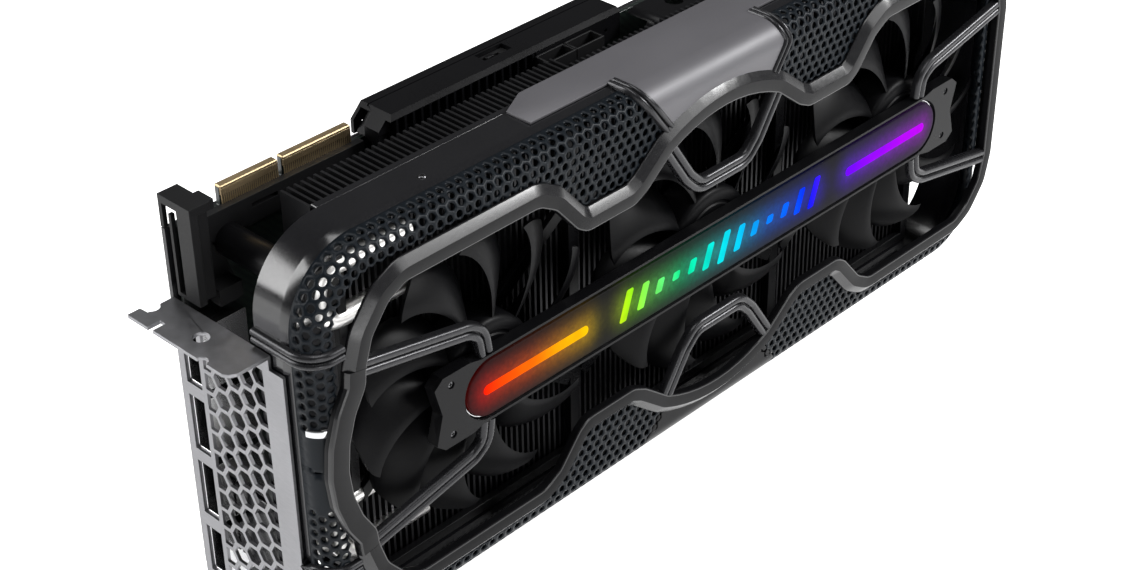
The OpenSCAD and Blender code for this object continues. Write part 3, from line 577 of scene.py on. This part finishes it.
def frame_pieces():
    """The front frame with the lip under its far side, and the ring at the bracket end."""
    main, ring = split_path()
    build = Build()
    build.add(*flat_sweep(main, FRAME_BACK, outward(FRAME_PROFILE)))
    lip_low = (RIGHT - LIP_WIDTH, FRAME_BACK - 0.5, MID_Z - LIP_HALF)
    build.add(*slab(lip_low, (RIGHT, FRAME_BACK + LIP_DEPTH, MID_Z + LIP_HALF)))
    made = build.piece("frame_moulding", SATIN, replaces="front_frame", smooth=28)
    # The sloping bevel faces take the lighter black: a painted highlight, on top of their real gloss.
    second_look(made, EDGE_HIGHLIGHT, sloping)
    build = Build()
    build.add(*flat_sweep(ring, FRAME_BACK, outward(RING_PROFILE)))
    made = build.piece("ring_moulding", SATIN, replaces="c_ring", smooth=28)
    # The ring's sloping bevel faces take the same painted highlight.
    second_look(made, EDGE_HIGHLIGHT, sloping)


# ---------------- struts, loops and beads

STRUT_PROFILE = bumps(5.2, 1.3, 1.2)


def strut(points, build):
    """A double bead along points measured from the middle of the card."""
    path = rounded([(MID_X + x, MID_Z + h) for x, h in points], 7.0, closed=False)
    build.add(*flat_sweep(path, FRAME_BACK - 1.2, STRUT_PROFILE))


def struts_and_loops():
    """The beaded struts from the bar to the frame, and the loops over the middle fan."""
    bar_top = (bar_high.z - bar_low.z) / 2 - 1
    half_strut = [(95.5, bar_top + 0.4), (96.5, 17.5), (101, 20.5), (137, 27.8)]
    for side, name in ((-1, "left_struts"), (1, "right_struts")):
        build = Build()
        for up in (-1, 1):
            strut([(side * x, up * h) for x, h in half_strut], build)
        build.piece(f"{name}_beaded", BEAD, replaces=name)
    half_loop = [(23.5, 42.4), (15, 29.5), (10, 24.5)]
    run = half_loop + [(-x, h) for x, h in reversed(half_loop)]
    for up, name in ((1, "top_loop"), (-1, "bottom_loop")):
        build = Build()
        strut([(x, up * h) for x, h in run], build)
        build.piece(f"{name}_beaded", BEAD, replaces=name)


def corner_run(z, back, steps=10):
    """Points and normals round the left end of the shroud at one level, from back to frame."""
    points = [Vector((LEFT, back, z)), Vector((LEFT, PROFILE_Y + 4, z))]
    normals = [Vector((-1, 0, 0))] * 2
    for k in range(steps + 1):
        a = pi / 2 * k / steps
        normal = Vector((-cos(a), -sin(a), 0))
        points.append(Vector((LEFT + PROFILE_R, PROFILE_Y, z)) + normal * PROFILE_R)
        normals.append(normal)
    points.append(points[-1] + Vector((3, 0, 0)))
    normals.append(normal)
    return points, normals


END_BEADS = [(3.4, SHELL_BACK), (-64.4, -44.6)]


def end_bead_pieces():
    """A pair of beads round the left end at two levels, and a bright clip on the solid panel."""
    build = Build()
    for z, back in END_BEADS:
        points, normals = corner_run(z, back)
        build.add(*sweep(points, normals, bumps(4.6, 1.4, 0.2)))
    clip_z = MID_Z + PANEL_HALF - 1.0
    points, normals = corner_run(clip_z, -50.0)
    clip = [(-1.1, -0.2), (-1.1, 0.5), (-0.8, 0.7), (0.8, 0.7), (1.1, 0.5), (1.1, -0.2)]
    build.add(*sweep(points[4:10], normals[4:10], clip))
    made = build.piece("end_bead_trim", BEAD, replaces="end_beads")
    second_look(made, BRIGHT, lambda face: abs(face.center.z / MM - clip_z) < 2)


# ---------------- shroud shell


SHELL_WALL = 2.0
TOP_BACK, FLOOR_BACK, END_BACK = -30.4, -20.0, -12.0
# The rib behind the bracket's lower vents: distance in from the left end, and thickness.
RIB_IN, RIB_SHEET = 4.2, 1.5


def shell_piece():
    """A band round the card, with a chamfered rim in front, flat walls behind it and a rib."""
    depth = SHELL_BACK - SHELL_FRONT
    rim = [(0.0, 0.25), (0.25, 0.0), (SHELL_WALL, 0.0), (SHELL_WALL, depth - 2.2), (1.6, depth),
           (0.9, depth), (0.0, depth - 4.3), (0.02, depth - 4.6)]
    outline = rounded([(LEFT, FLOOR), (LEFT, TOP), (RIGHT, TOP), (RIGHT, FLOOR)], CORNER, step=6)
    build = Build()
    build.add(*flat_sweep(outline, SHELL_BACK, rim, closed=True))
    start = SHELL_BACK - 0.3
    left, right = LEFT + CORNER + 0.7, RIGHT - CORNER
    build.add(*slab((left, start, TOP - 1), (right, TOP_BACK, TOP)))
    build.add(*slab((left, start, FLOOR), (right, FLOOR_BACK, FLOOR + 1)))
    build.add(*slab((RIGHT - SHELL_WALL, start, FLOOR + CORNER), (RIGHT, END_BACK, TOP - CORNER)))
    rib_low = (LEFT + RIB_IN, SHELL_BACK - 2.4, FLOOR + 9.5)
    build.add(*slab(rib_low, (LEFT + RIB_IN + RIB_SHEET, -10.2, FLOOR + 34)))
    build.piece("shroud_moulding", GLOSS, replaces="shroud_shell", smooth=22)


def slab(low, high, edge=0.2):
    """A box with chamfered edges, as points and faces."""
    low, high = Vector(low), Vector(high)
    verts = []
    index = {}
    for axis in range(3):
        for corner in range(8):
            place = [high[i] if corner >> i & 1 else low[i] for i in range(3)]
            for i in range(3):
                if i != axis:
                    place[i] += -edge if corner >> i & 1 else edge
            index[axis, corner] = len(verts)
            verts.append(place)
    faces = []
    for axis in range(3):
        u, v = (axis + 1) % 3, (axis + 2) % 3
        for side in (0, 1):
            base = side << axis
            faces.append([index[axis, base | a << u | b << v] for a, b in ((0, 0), (1, 0), (1, 1), (0, 1))])
        for a in (0, 1):
            for b in (0, 1):
                c = a << u | b << v
                faces.append([index[u, c], index[v, c], index[v, c | 1 << axis], index[u, c | 1 << axis]])
    for corner in range(8):
        faces.append([index[0, corner], index[1, corner], index[2, corner]])
    return verts, faces


# ---------------- perforated grilles

HOLE_PITCH, ROW_PITCH, HOLE_RADIUS = 3.3, 2.7, 1.12
# The run over the rounded rim, the run from the middle to the corner, and the run round the corner.
QUARTER = PROFILE_R * pi / 2
STRAIGHT_RUN = RIGHT - CORNER - MID_X
# Cells keep their pitch at this radius of the corner.
CORNER_MEAN = 19.0
CORNER_RUN = CORNER_MEAN * pi / 2
FIRST_COLUMN, FIRST_ROW = 20.0, 1.35
# Half height of the solid panel at the bracket end, and the run past which the far end is solid.
PANEL_HALF = 13.5
SOLID_RUN = STRAIGHT_RUN + 12
# Points of the lowest row below the first run fold back to the second, behind the rim.
FOLD_RUN, FOLD_BACK = 0.8, -1.2
# The shield's side edges: distance from the middle of the card, height above it.
SHIELD_SIDE = [(34, 62), (30, 56), (23.5, 47.5), (22, 44)]
SHIELD_SIDE_RIGHT = [(28, 62), (30, 56), (24, 47.5), (22, 44)]


def shield_edge(height, left):
    """Distance of the shield's side edge from the middle at a height above the middle."""
    side = SHIELD_SIDE if left else SHIELD_SIDE_RIGHT
    for (x1, h1), (x0, h0) in zip(side, side[1:]):
        if height >= h0:
            return x0 + (x1 - x0) * min(1.0, (height - h0) / (h1 - h0))
    return side[-1][0]


def thicken(made, thickness, outward_side):
    """Gives an open skin a thickness on its inner side."""
    facing = sum((face.normal * face.area for face in made.data.polygons), Vector())
    if facing.dot(outward_side) < 0:
        made.data.flip_normals()
    sheet = made.modifiers.new("sheet", "SOLIDIFY")
    sheet.thickness = thickness * MM
    sheet.offset = -1.0


def grille_point(u, v, lift=0.0):
    """A point on the top right grille: u runs along it from the middle, v across it."""
    angle = min(max(v, 0.0), QUARTER) / PROFILE_R
    radius = PROFILE_R + lift
    inward = PROFILE_R - radius * cos(angle)
    y = PROFILE_Y - radius * sin(angle) + max(0.0, -v)
    inward += max(0.0, v - QUARTER)
    past = u - STRAIGHT_RUN
    if past <= 0:
        return Vector((MID_X + u, y, TOP - inward))
    if past <= CORNER_RUN:
        a = past / CORNER_MEAN
        reach = CORNER - inward
        return Vector((RIGHT - CORNER + reach * sin(a), y, TOP - CORNER + reach * cos(a)))
    return Vector((RIGHT - inward, y, TOP - CORNER - (past - CORNER_RUN)))


def grille_cell(u, v, solid, build):
    """One six-sided cell with a round hole in it, or without one."""
    half = HOLE_PITCH / 2
    tall = ROW_PITCH / 1.5
    corners = [(u + half, v - tall / 2), (u + half, v + tall / 2), (u, v + tall),
               (u - half, v + tall / 2), (u - half, v - tall / 2), (u, v - tall)]
    ring = []
    for i, a in enumerate(corners):
        b = corners[(i + 1) % 6]
        ring.append(a)
        ring.append(((a[0] + b[0]) / 2, (a[1] + b[1]) / 2))
    ring = [(a, FOLD_BACK if b < FOLD_RUN else b) for a, b in ring]
    outer = [grille_point(a, b) for a, b in ring]
    if solid:
        build.add(outer, [list(range(12))])
        return
    inner = []
    for a, b in ring:
        turn = atan2(b - v, a - u)
        inner.append(grille_point(u + HOLE_RADIUS * cos(turn), v + HOLE_RADIUS * sin(turn)))
    build.add(outer + inner, grid_faces(2, 12, loop_columns=True))


def grille_piece(name, left, below):
    """The grille of one quarter of the card, mirrored into place."""
    build = Build()
    end_run = STRAIGHT_RUN + CORNER_RUN + TOP - CORNER - MID_Z
    rows = int((QUARTER + 19) / ROW_PITCH)
    first = FIRST_COLUMN - (2 * MID_X - LEFT - RIGHT if left else 0.0)

    def turned(p):
        x = LEFT + RIGHT - p.x if left else p.x
        z = 2 * MID_Z - p.z if below else p.z
        return Vector((x, p.y, z))

    for row in range(rows):
        v = FIRST_ROW + row * ROW_PITCH
        for column in range(int((end_run - first) / HOLE_PITCH) + 2):
            u = first + (column + (row % 2) / 2) * HOLE_PITCH
            place = turned(grille_point(u, v))
            solid = abs(place.z - MID_Z) < PANEL_HALF if left else u > SOLID_RUN
            # Cells stop at the middle of the end, at the shield and where the frame covers them.
            if u > end_run + (0.5 if solid else -1.5):
                continue
            if abs(place.x - MID_X) < shield_edge(abs(place.z - MID_Z), left) - 1.2:
                continue
            if v > QUARTER + 0.6 and (u > 80 or inside((place.x, place.z), GRILLE_STOP)):
                continue
            grille_cell(u, v, solid, build)

    build.verts = [turned(p) for p in build.verts]
    made = build.piece(name.replace("mesh", "grille"), GRILLE, replaces=name,
                       smooth=40, merge=0.02)
    thicken(made, 0.8, (0, -1, 0))


def grille_pieces():
    """The four grilles."""
    for left in (True, False):
        for below in (True, False):
            side = "left" if left else "right"
            level = "bottom" if below else "top"
            grille_piece(f"mesh_{level}_{side}", left, below)


# ---------------- shield


def wrap_point(x, v, radius):
    """A point on the wrap over the top corner: v is measured from the corner's start."""
    if v <= 0:
        return Vector((x, PROFILE_Y - v, TOP - PROFILE_R + radius))
    quarter = radius * pi / 2
    if v <= quarter:
        a = v / radius
        return Vector((x, PROFILE_Y - radius * sin(a), TOP - PROFILE_R + radius * cos(a)))
    return Vector((x, PROFILE_Y - radius, TOP - PROFILE_R - (v - quarter)))


def wrap_height(v, radius):
    """Height of a point on the wrap above the middle of the card."""
    return wrap_point(0, v, radius).z - MID_Z


# The wrap follows the arch this far to each side, and stops this far above it.
WRAP_REACH, WRAP_COVER = ARCH_HALF - 0.1, 5.6
WRAP_ROWS, WRAP_COLUMNS = 26, 40


def wrap_grid(radius, trim, start, below, build):
    """The curved part of a wrap, between its two side edges and down to the frame's arch."""
    verts = []
    for row in range(WRAP_ROWS + 1):
        for column in range(WRAP_COLUMNS + 1):
            share = column / WRAP_COLUMNS
            height = wrap_height(start, radius)
            # The height sets the width and the width the arch's height, so they settle in turn.
            for _ in range(3):
                low = MID_X - shield_edge(height, True) + trim
                high = MID_X + shield_edge(height, False) - trim
                x = low + (high - low) * share
                near = max(-WRAP_REACH, min(WRAP_REACH, x - MID_X))
                arch = arch_height(near) + WRAP_COVER + 0.035 * abs(x - MID_X)
                total = radius * pi / 2 + (TOP - PROFILE_R - MID_Z - arch)
                v = start + (total - start) * row / WRAP_ROWS
                height = wrap_height(v, radius)
            verts.append(wrap_point(x, v, radius))
    if below:
        verts = [Vector((p.x, p.y, 2 * MID_Z - p.z)) for p in verts]
    build.add(verts, grid_faces(WRAP_ROWS + 1, WRAP_COLUMNS + 1))


def solid_sheet(made, thickness, outward_side):
    """Gives an open skin a thickness and soft edges."""
    thicken(made, thickness, outward_side)
    soften(made, 0.15, 50)


def shield_pieces():
    """The grey plate over the top corner and the black wrap under the lower one."""
    radius = PROFILE_R + 0.8
    front, back = -42.4, -28.5
    build = Build()
    wrap_grid(radius, 2.6, PROFILE_Y - front, False, build)
    join = [(p.x, p.y) for p in reversed(build.verts[:WRAP_COLUMNS + 1])]
    left, right = MID_X - SHIELD_HALF, MID_X + SHIELD_HALF
    outline = [(left, front), (left, -33.4), (left + 9.5, back), (right - 9.5, back), (right, -33.4),
               (right, front)] + join
    level = TOP + 0.8
    build.add([(x, y, level) for x, y in outline], [list(range(len(outline)))])
    made = build.piece("shield_sheet", SHIELD, replaces="shield_plate", smooth=30)
    solid_sheet(made, 0.8, (0, 0, 1))
    build = Build()
    wrap_grid(PROFILE_R, 0.2, -0.3, True, build)
    made = build.piece("lower_wrap_sheet", SATIN, replaces="bottom_wrap", smooth=30)
    solid_sheet(made, 1.0, (0, -1, 0))


def shield_bead_pieces():
    """A pair of beads down each side of the shield, over the corner."""
    build = Build()
    steps = 26
    for left in (True, False):
        side = -1 if left else 1
        points, normals = [], []
        start, end = -5.2, QUARTER + 6.5
        for k in range(steps + 1):
            v = start + (end - start) * k / steps
            x = MID_X + side * (shield_edge(wrap_height(v, PROFILE_R), left) - 1.3)
            points.append(wrap_point(x, v, PROFILE_R))
            a = min(max(v, 0.0) / PROFILE_R, pi / 2)
            normals.append((0, -sin(a), cos(a)))
        build.add(*sweep(points, normals, bumps(3.8, 1.5, 0.1)))
    build.piece("shield_bead_trim", BEAD, replaces="shield_beads")


# ---------------- light bar


def capsule_path(half, radius, steps=14):
    """A long rounded shape in X and Z about the middle of the bar."""
    path = []
    for side in (1, -1):
        for k in range(steps + 1):
            a = side * pi / 2 - pi * k / steps
            path.append(Vector((MID_X + side * (half - radius) + radius * cos(a), MID_Z + radius * sin(a))))
    return path


def dome(rings, build):
    """Joined rings with the last one closed by quads across the bar."""
    count = len(rings[0][0])
    verts, faces = layers(rings)
    last = (len(rings) - 1) * count
    for k in range(count // 2 - 1):
        faces.append([last + k, last + k + 1, last + count - 2 - k, last + count - 1 - k])
    build.add(verts, faces)


LENS_HALF, LENS_RADIUS = 104.5, 9.7
BAR_PITCH = 7


def light_bar_pieces():
    """The smoked lens, its bright rim, the two lit lines and the lit row of slanted bars."""
    lens_front = box_mm("light_bar_lens")[0].y
    build = Build()
    rings = [(1.0, 1.5), (1.0, 0.35), (1.3, 0.12), (2.2, 0.02), (5.0, 0.0)]
    dome([(capsule_path(LENS_HALF - d, LENS_RADIUS - d), lens_front + lift) for d, lift in rings], build)
    build.piece("bar_lens", LENS, replaces="light_bar_lens", smooth=30)
    trim = [(-0.34, -1.4), (-0.34, -0.2), (-0.15, 0.0), (0.15, 0.0), (0.34, -0.2), (0.34, -1.4)]
    build = Build()
    path = capsule_path(LENS_HALF - 0.5, LENS_RADIUS - 0.5)
    build.add(*flat_sweep(path, bar_low.y + 1.0, trim, closed=True))
    build.piece("bar_trim", BRIGHT, replaces="light_bar_trim")
    build = Build()
    half = (LINE_FAR - LINE_NEAR) / 2
    for side in (-1, 1):
        line = [p + Vector((side * (LINE_NEAR + LINE_FAR) / 2, 0)) for p in capsule_path(half, 1.7)]
        build.add(*prism(line, lens_front + 0.8, lens_front - 0.12, 0.2))
    build.piece("lit_lines", LIT, replaces="light_lines", smooth=40)
    build = Build()
    for i in range(-6, 7):
        h = 3.2 + 1.8 * cos(radians(60 * i))
        lean = h / 3
        bar = [(-1.5 - lean, -h), (1.5 - lean, -h), (1.5 + lean, h), (-1.5 + lean, h)]
        bar = rounded([(MID_X + BAR_PITCH * i + x, MID_Z + z) for x, z in bar], 0.7, step=30)
        build.add(*prism(bar, lens_front + 0.8, lens_front - 0.12, 0.15))
    build.piece("lit_motif", LIT, replaces="light_motif", smooth=40)


# ---------------- heat pipes


PIPE_RADIUS, PIPE_COUNT = 3.0, 6
# Bends at the bracket end: the middle level and half height of each, then each one's depth and reach.
BEND_LEVELS = [(8.0, 8.0), (-66.0, 9.0)]
BEND_DEPTHS = [(-38.0, 17.0), (-30.5, 12.0)]
BEND_END = 48.0


def heat_pipe_pieces():
    """Plated tubes across the base, with bends that rise through the fins at the bracket end."""
    low, high = box_mm("heat_pipes")
    ring = circle(PIPE_RADIUS, 16)
    deep = high.y - PIPE_RADIUS
    step = (high.z - low.z - 2 * PIPE_RADIUS) / (PIPE_COUNT - 1)
    build = Build()
    for i in range(PIPE_COUNT):
        z = low.z + PIPE_RADIUS + step * i
        build.add(*sweep([(low.x, deep, z), (high.x, deep, z)], [(0, 0, 1)] * 2, ring))
    for middle, half in BEND_LEVELS:
        for y, reach in BEND_DEPTHS:
            bend = [(BEND_END, middle + half), (reach, middle + half), (reach, middle - half),
                    (BEND_END, middle - half)]
            points = [(x, y, z) for x, z in rounded(bend, 7.0, closed=False)]
            build.add(*sweep(points, [(0, 1, 0)] * len(points), ring))
    build.piece("heat_pipe_tubes", NICKEL, replaces="heat_pipes")


# ---------------- fans

HUB_RADIUS = 17.0
BLADES = 11


def blade(centre, turn, back, depth, build, spans=12, chords=9):
    """One swept, twisted fan blade as a closed skin."""
    tip = FAN_R - 0.3
    start = HUB_RADIUS - 0.8
    verts = []
    for face in (1, -1):
        for i in range(spans + 1):
            s = i / spans
            r = start + (tip - start) * s
            sweep_angle = radians(4 + 20 * s * s)
            chord = radians(22.5 + 2.5 * sin(pi * s))
            rise = depth * (0.44 - 0.04 * s)
            thick = 0.75 - 0.3 * s
            for k in range(chords + 1):
                c = k / chords - 0.5
                # The tip's corners are rounded off.
                pull = 1.8 * (2 * abs(c)) ** 4 * s ** 6
                a = turn + sweep_angle + chord * c
                camber = 0.9 * (1 - 4 * c * c)
                y = back - depth / 2 - 2 * rise * c - camber
                body = thick * sqrt(max(0.0, 1 - (2 * c) ** 4)) + 0.08
                verts.append(Vector((centre[0] + (r - pull) * cos(a), y + face * body,
                                     centre[1] + (r - pull) * sin(a))))
    stride = chords + 1
    layer = (spans + 1) * stride
    faces = grid_faces(spans + 1, stride) + grid_faces(spans + 1, stride, start=layer)
    rim = [i * stride for i in range(spans + 1)] + [spans * stride + k for k in range(1, chords + 1)]
    rim += [i * stride + chords for i in range(spans - 1, -1, -1)] + list(range(chords - 1, 0, -1))
    for i, a in enumerate(rim):
        b = rim[(i + 1) % len(rim)]
        faces.append([a, b, b + layer, a + layer])
    build.add(verts, faces)


def hub_profile(back, front):
    """Outer skin of the hub from its open back edge over its domed face."""
    r = HUB_RADIUS
    return [(r - 1.5, back), (r, back), (r, front + 2.0), (r - 0.4, front + 0.9), (r - 1.2, front + 0.25),
            (r - 2.2, front), (13.0, front), (12.6, front + 0.35), (12.0, front + 0.35),
            (11.6, front), (4.0, front), (0.0, front)]


def fan_pieces():
    """Three fans, each with its blades, hub and shaft in one piece."""
    for n in (1, 2, 3):
        low, high = box_mm(f"fan_{n}_rotor")
        x, _, z = middle_of(low, high)
        centre = (x, z)
        back, front = high.y, low.y
        build = Build()
        for k in range(BLADES):
            blade(centre, 2 * pi * k / BLADES, back - 0.4, back - front - 0.8, build)
        build.add(*revolve(hub_profile(back, front), centre, 64))
        shaft = [(0.0, back), (1.5, back), (1.5, front + 1.4), (0.0, front + 1.4)]
        build.add(*revolve(shaft, centre, 24))
        build.piece(f"fan_{n}_blades", FAN, body=f"fan_{n}",
                    replaces=f"fan_{n}_rotor", smooth=35)


# ---------------- contacts and screws


# Ends of the two tongues in X.
TONGUES = [(17.5, 36.9), (38.1, 62.0)]
TOOTH_PITCH = 0.7


def contact_pieces():
    """Plated fingers on the two top tongues, with a fine toothed lower edge."""
    low, high = box_mm("bridge_contacts")
    edge = box_mm("circuit_board")[1].z
    build = Build()
    for first, last in TONGUES:
        start, end = first + 0.2, last - 0.2
        count = round((last - first) / TOOTH_PITCH)
        pitch = (end - start) / count
        build.add(*slab((start, low.y, edge - 2.4), (end, high.y, edge + 0.5), 0.25))
        for k in range(count):
            x = start + k * pitch
            tooth_low = (x + 0.12, low.y - 0.05, edge - 6.0)
            tooth_high = (x + pitch - 0.12, low.y + 0.2, edge - 0.3)
            build.add(*slab(tooth_low, tooth_high, 0.05))
    build.piece("bridge_fingers", GOLD, replaces="bridge_contacts", smooth=30)


def cross_screw(centre, axis, top, radius, height, build, steps=24):
    """A low round screw head with a cross recess. axis is +y, -y or +z, the way it faces."""
    ring = [(radius, 0.0), (radius, height * 0.45), (radius * 0.86, height * 0.85), (radius * 0.6, height)]
    arm, reach, sink = radius * 0.16, radius * 0.55, height * 0.8
    verts = []
    for r, h in ring:
        verts.extend((x, y, h) for x, y in circle(r, steps))
    faces = grid_faces(len(ring), steps, loop_columns=True)
    cross = []
    for quarter in range(4):
        a = pi / 2 * quarter
        for x, y in ((reach, -arm), (reach, arm), (arm, arm)):
            cross.append((x * cos(a) - y * sin(a), x * sin(a) + y * cos(a)))
    rim = (len(ring) - 1) * steps
    start = len(verts)
    verts.extend((x, y, height) for x, y in cross)
    verts.extend((x * 0.8, y * 0.8, height - sink) for x, y in cross)
    count = len(cross)
    for k in range(count):
        after = start + (k + 1) % count
        faces.append([start + k, after, after + count, start + count + k])
        faces.append([rim + 2 * k, rim + (2 * k + 1) % steps, rim + (2 * k + 2) % steps, after, start + k])
    faces.append([start + count + k for k in range(count)])
    place = []
    for x, y, h in verts:
        if axis == "+y":
            place.append((centre[0] + x, top + h, centre[1] + y))
        elif axis == "-y":
            place.append((centre[0] + x, top - h, centre[1] - y))
        else:
            place.append((centre[0] + x, centre[1] + y, top + h))
    build.add(place, faces)


def solid_boxes(node):
    """Lowest and highest corner of each separate solid of a node, from its linked vertices."""
    work = bmesh.new()
    work.from_mesh(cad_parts[node].data)
    bmesh.ops.remove_doubles(work, verts=work.verts, dist=1e-6)
    left = set(work.verts)
    found = []
    while left:
        group = [left.pop()]
        for vert in group:
            for edge in vert.link_edges:
                other = edge.other_vert(vert)
                if other in left:
                    left.discard(other)
                    group.append(other)
        spans = list(zip(*(vert.co for vert in group)))
        found.append([Vector([pick(span) for span in spans]) / MM for pick in (min, max)])
    work.free()
    return sorted(found, key=lambda pair: tuple(pair[0]))


def screw_pieces():
    """Screw heads at the places of the CAD screws."""
    for node, radius, height in (("backplate_screws", 2.2, 0.5), ("spring_screws", 2.6, 0.5)):
        build = Build()
        for low, high in solid_boxes(node):
            x, _, z = middle_of(low, high)
            cross_screw((x, z), "+y", high.y - height, radius, height, build)
        build.piece(f"{node}_heads", SCREW, replaces=node, smooth=35)
    build = Build()
    radius, height = 1.05, 0.5
    for low, high in solid_boxes("case_screws"):
        x, y, z = middle_of(low, high)
        if high.z - low.z > high.y - low.y or high.z > TOP:
            cross_screw((x, y), "+z", TOP - 0.1, radius, height, build)
        else:
            cross_screw((x, z), "-y", low.y + height, radius, height, build)
    build.piece("case_screw_heads", SCREW, replaces="case_screws", smooth=35)


# ---------------- carried-over CAD nodes

CAD_LOOKS = {
    "io_bracket": STEEL, "display_sockets": BRIGHT, "wide_video_socket": BRIGHT,
    "socket_tongues": MATTE, "circuit_board": BOARD, "slot_contacts": GOLD, "backplate": DARK_METAL,
    "retention_plate": STEEL, "processor_package": BOARD, "memory_chips": MATTE,
    "power_chokes": MATTE, "capacitors": CAN, "thermal_pads": PAD, "cold_plate": COPPER,
    "base_plate": DARK_METAL, "fin_stack": FINS, "middle_frame": MATTE,
    "edge_rail": SATIN, "support_post": SATIN, "rear_cover": SATIN, "mode_switch_body": MATTE,
    "mode_switch_slider": SATIN, "power_sockets": MATTE, "power_pins": GOLD,
    "light_bar_housing": SATIN, "lamp_board": BOARD, "fan_carrier": SATIN, "fan_1_mount": SATIN,
    "fan_2_mount": SATIN, "fan_3_mount": SATIN, "fan_bearings": SCREW, "fan_stators": COPPER,
}
USUAL_EDGE = 0.22
# Bevel widths in millimetres where the usual one is too wide for the shape; 0 leaves the edges sharp.
SMALL_EDGES = {"slot_contacts": 0.03, "fin_stack": 0.0, "lamp_board": 0.1, "power_pins": 0.1,
               "backplate": 0.0, "retention_plate": 0.0}


def dress_cad_nodes():
    """Gives every carried-over node its material and soft edges."""
    for name, material in CAD_LOOKS.items():
        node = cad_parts[name]
        if not node.data.materials:
            node.data.materials.append(material)
        for slot in node.material_slots:
            slot.material = material
        width = SMALL_EDGES.get(name, USUAL_EDGE)
        if width:
            weld = node.modifiers.new("weld", "WELD")
            weld.merge_threshold = 0.002 * MM
            soften(node, width, 40).harden_normals = True


# ---------------- stage, lights and camera


def floor_piece(level):
    """A wide pale floor with a finely uneven surface."""
    steps, reach = 24, 4000.0
    verts = [(MID_X + reach * (2 * i / steps - 1), reach * (2 * k / steps - 1), level)
             for i in range(steps + 1) for k in range(steps + 1)]
    mesh = bpy.data.meshes.new("floor")
    mesh.from_pydata([Vector(v) * MM for v in verts], [], grid_faces(steps + 1, steps + 1))
    made = new_object("floor", mesh)
    look = Look("floor_paper")
    mesh.materials.append(look.finish({
        "Base Color": look.ramp(look.noise(3, 2), [(0.3, (0.86, 0.86, 0.86)), (0.7, (0.9, 0.9, 0.9))]),
        "Roughness": 0.9,
        "Specular IOR Level": 0.0,
        "Emission Color": (1, 1, 1, 1),
        "Emission Strength": 0.75,
    }))


def area_light(name, place, aim, width, height, power):
    """A soft rectangular light at a place, turned towards its aim."""
    light = bpy.data.lights.new(name, "AREA")
    light.shape = "RECTANGLE"
    light.size = width
    light.size_y = height
    light.energy = power
    made = new_object(name, light)
    made.location = place
    made.rotation_euler = (Vector(aim) - Vector(place)).to_track_quat("-Z", "Y").to_euler()


def stage_and_camera():
    """The floor, the soft studio lights and the camera."""
    floor_piece(cad_low.z / MM - 0.3)
    scene = bpy.context.scene
    world = bpy.data.worlds.new("studio")
    scene.world = world
    world.use_nodes = True
    background = world.node_tree.nodes["Background"]
    background.inputs["Color"].default_value = (1.0, 1.0, 1.0, 1)
    background.inputs["Strength"].default_value = 0.12
    middle = (0.15, -0.03, -0.03)
    area_light("top_softbox", (0.1, 0.0, 0.8), middle, 0.9, 0.35, 5.0)
    area_light("left_softbox", (-0.58, 0.54, 0.42), (0, -0.03, 0.0), 0.3, 0.75, 7.0)
    area_light("front_softbox", (0.6, -0.9, 0.5), middle, 0.6, 0.5, 4.0)
    area_light("low_softbox", (-0.36, -0.9, 0.04), (0.03, -0.03, 0.0), 0.3, 0.3, 1.6)
    area_light("edge_softbox", (0.83, -0.63, 0.60), middle, 0.26, 0.26, 11.0)
    scene.view_settings.view_transform = "Standard"
    camera = bpy.data.cameras.new("camera")
    made = new_object("camera", camera)
    made.location = (-0.2604, -0.39663, 0.30746)
    made.rotation_euler = Euler((radians(56.81), radians(0.669), radians(-46.19)))
    camera.sensor_width = 36
    camera.lens = 68.35
    camera.shift_x = 0.0008
    camera.shift_y = -0.0062
    camera.clip_start = 0.01
    camera.clip_end = 20
    scene.camera = made


stage_and_camera()
dress_cad_nodes()
shell_piece()
frame_pieces()
struts_and_loops()
end_bead_pieces()
grille_pieces()
shield_pieces()
shield_bead_pieces()
light_bar_pieces()
heat_pipe_pieces()
fan_pieces()
contact_pieces()
screw_pieces()

bpy.context.view_layer.update()
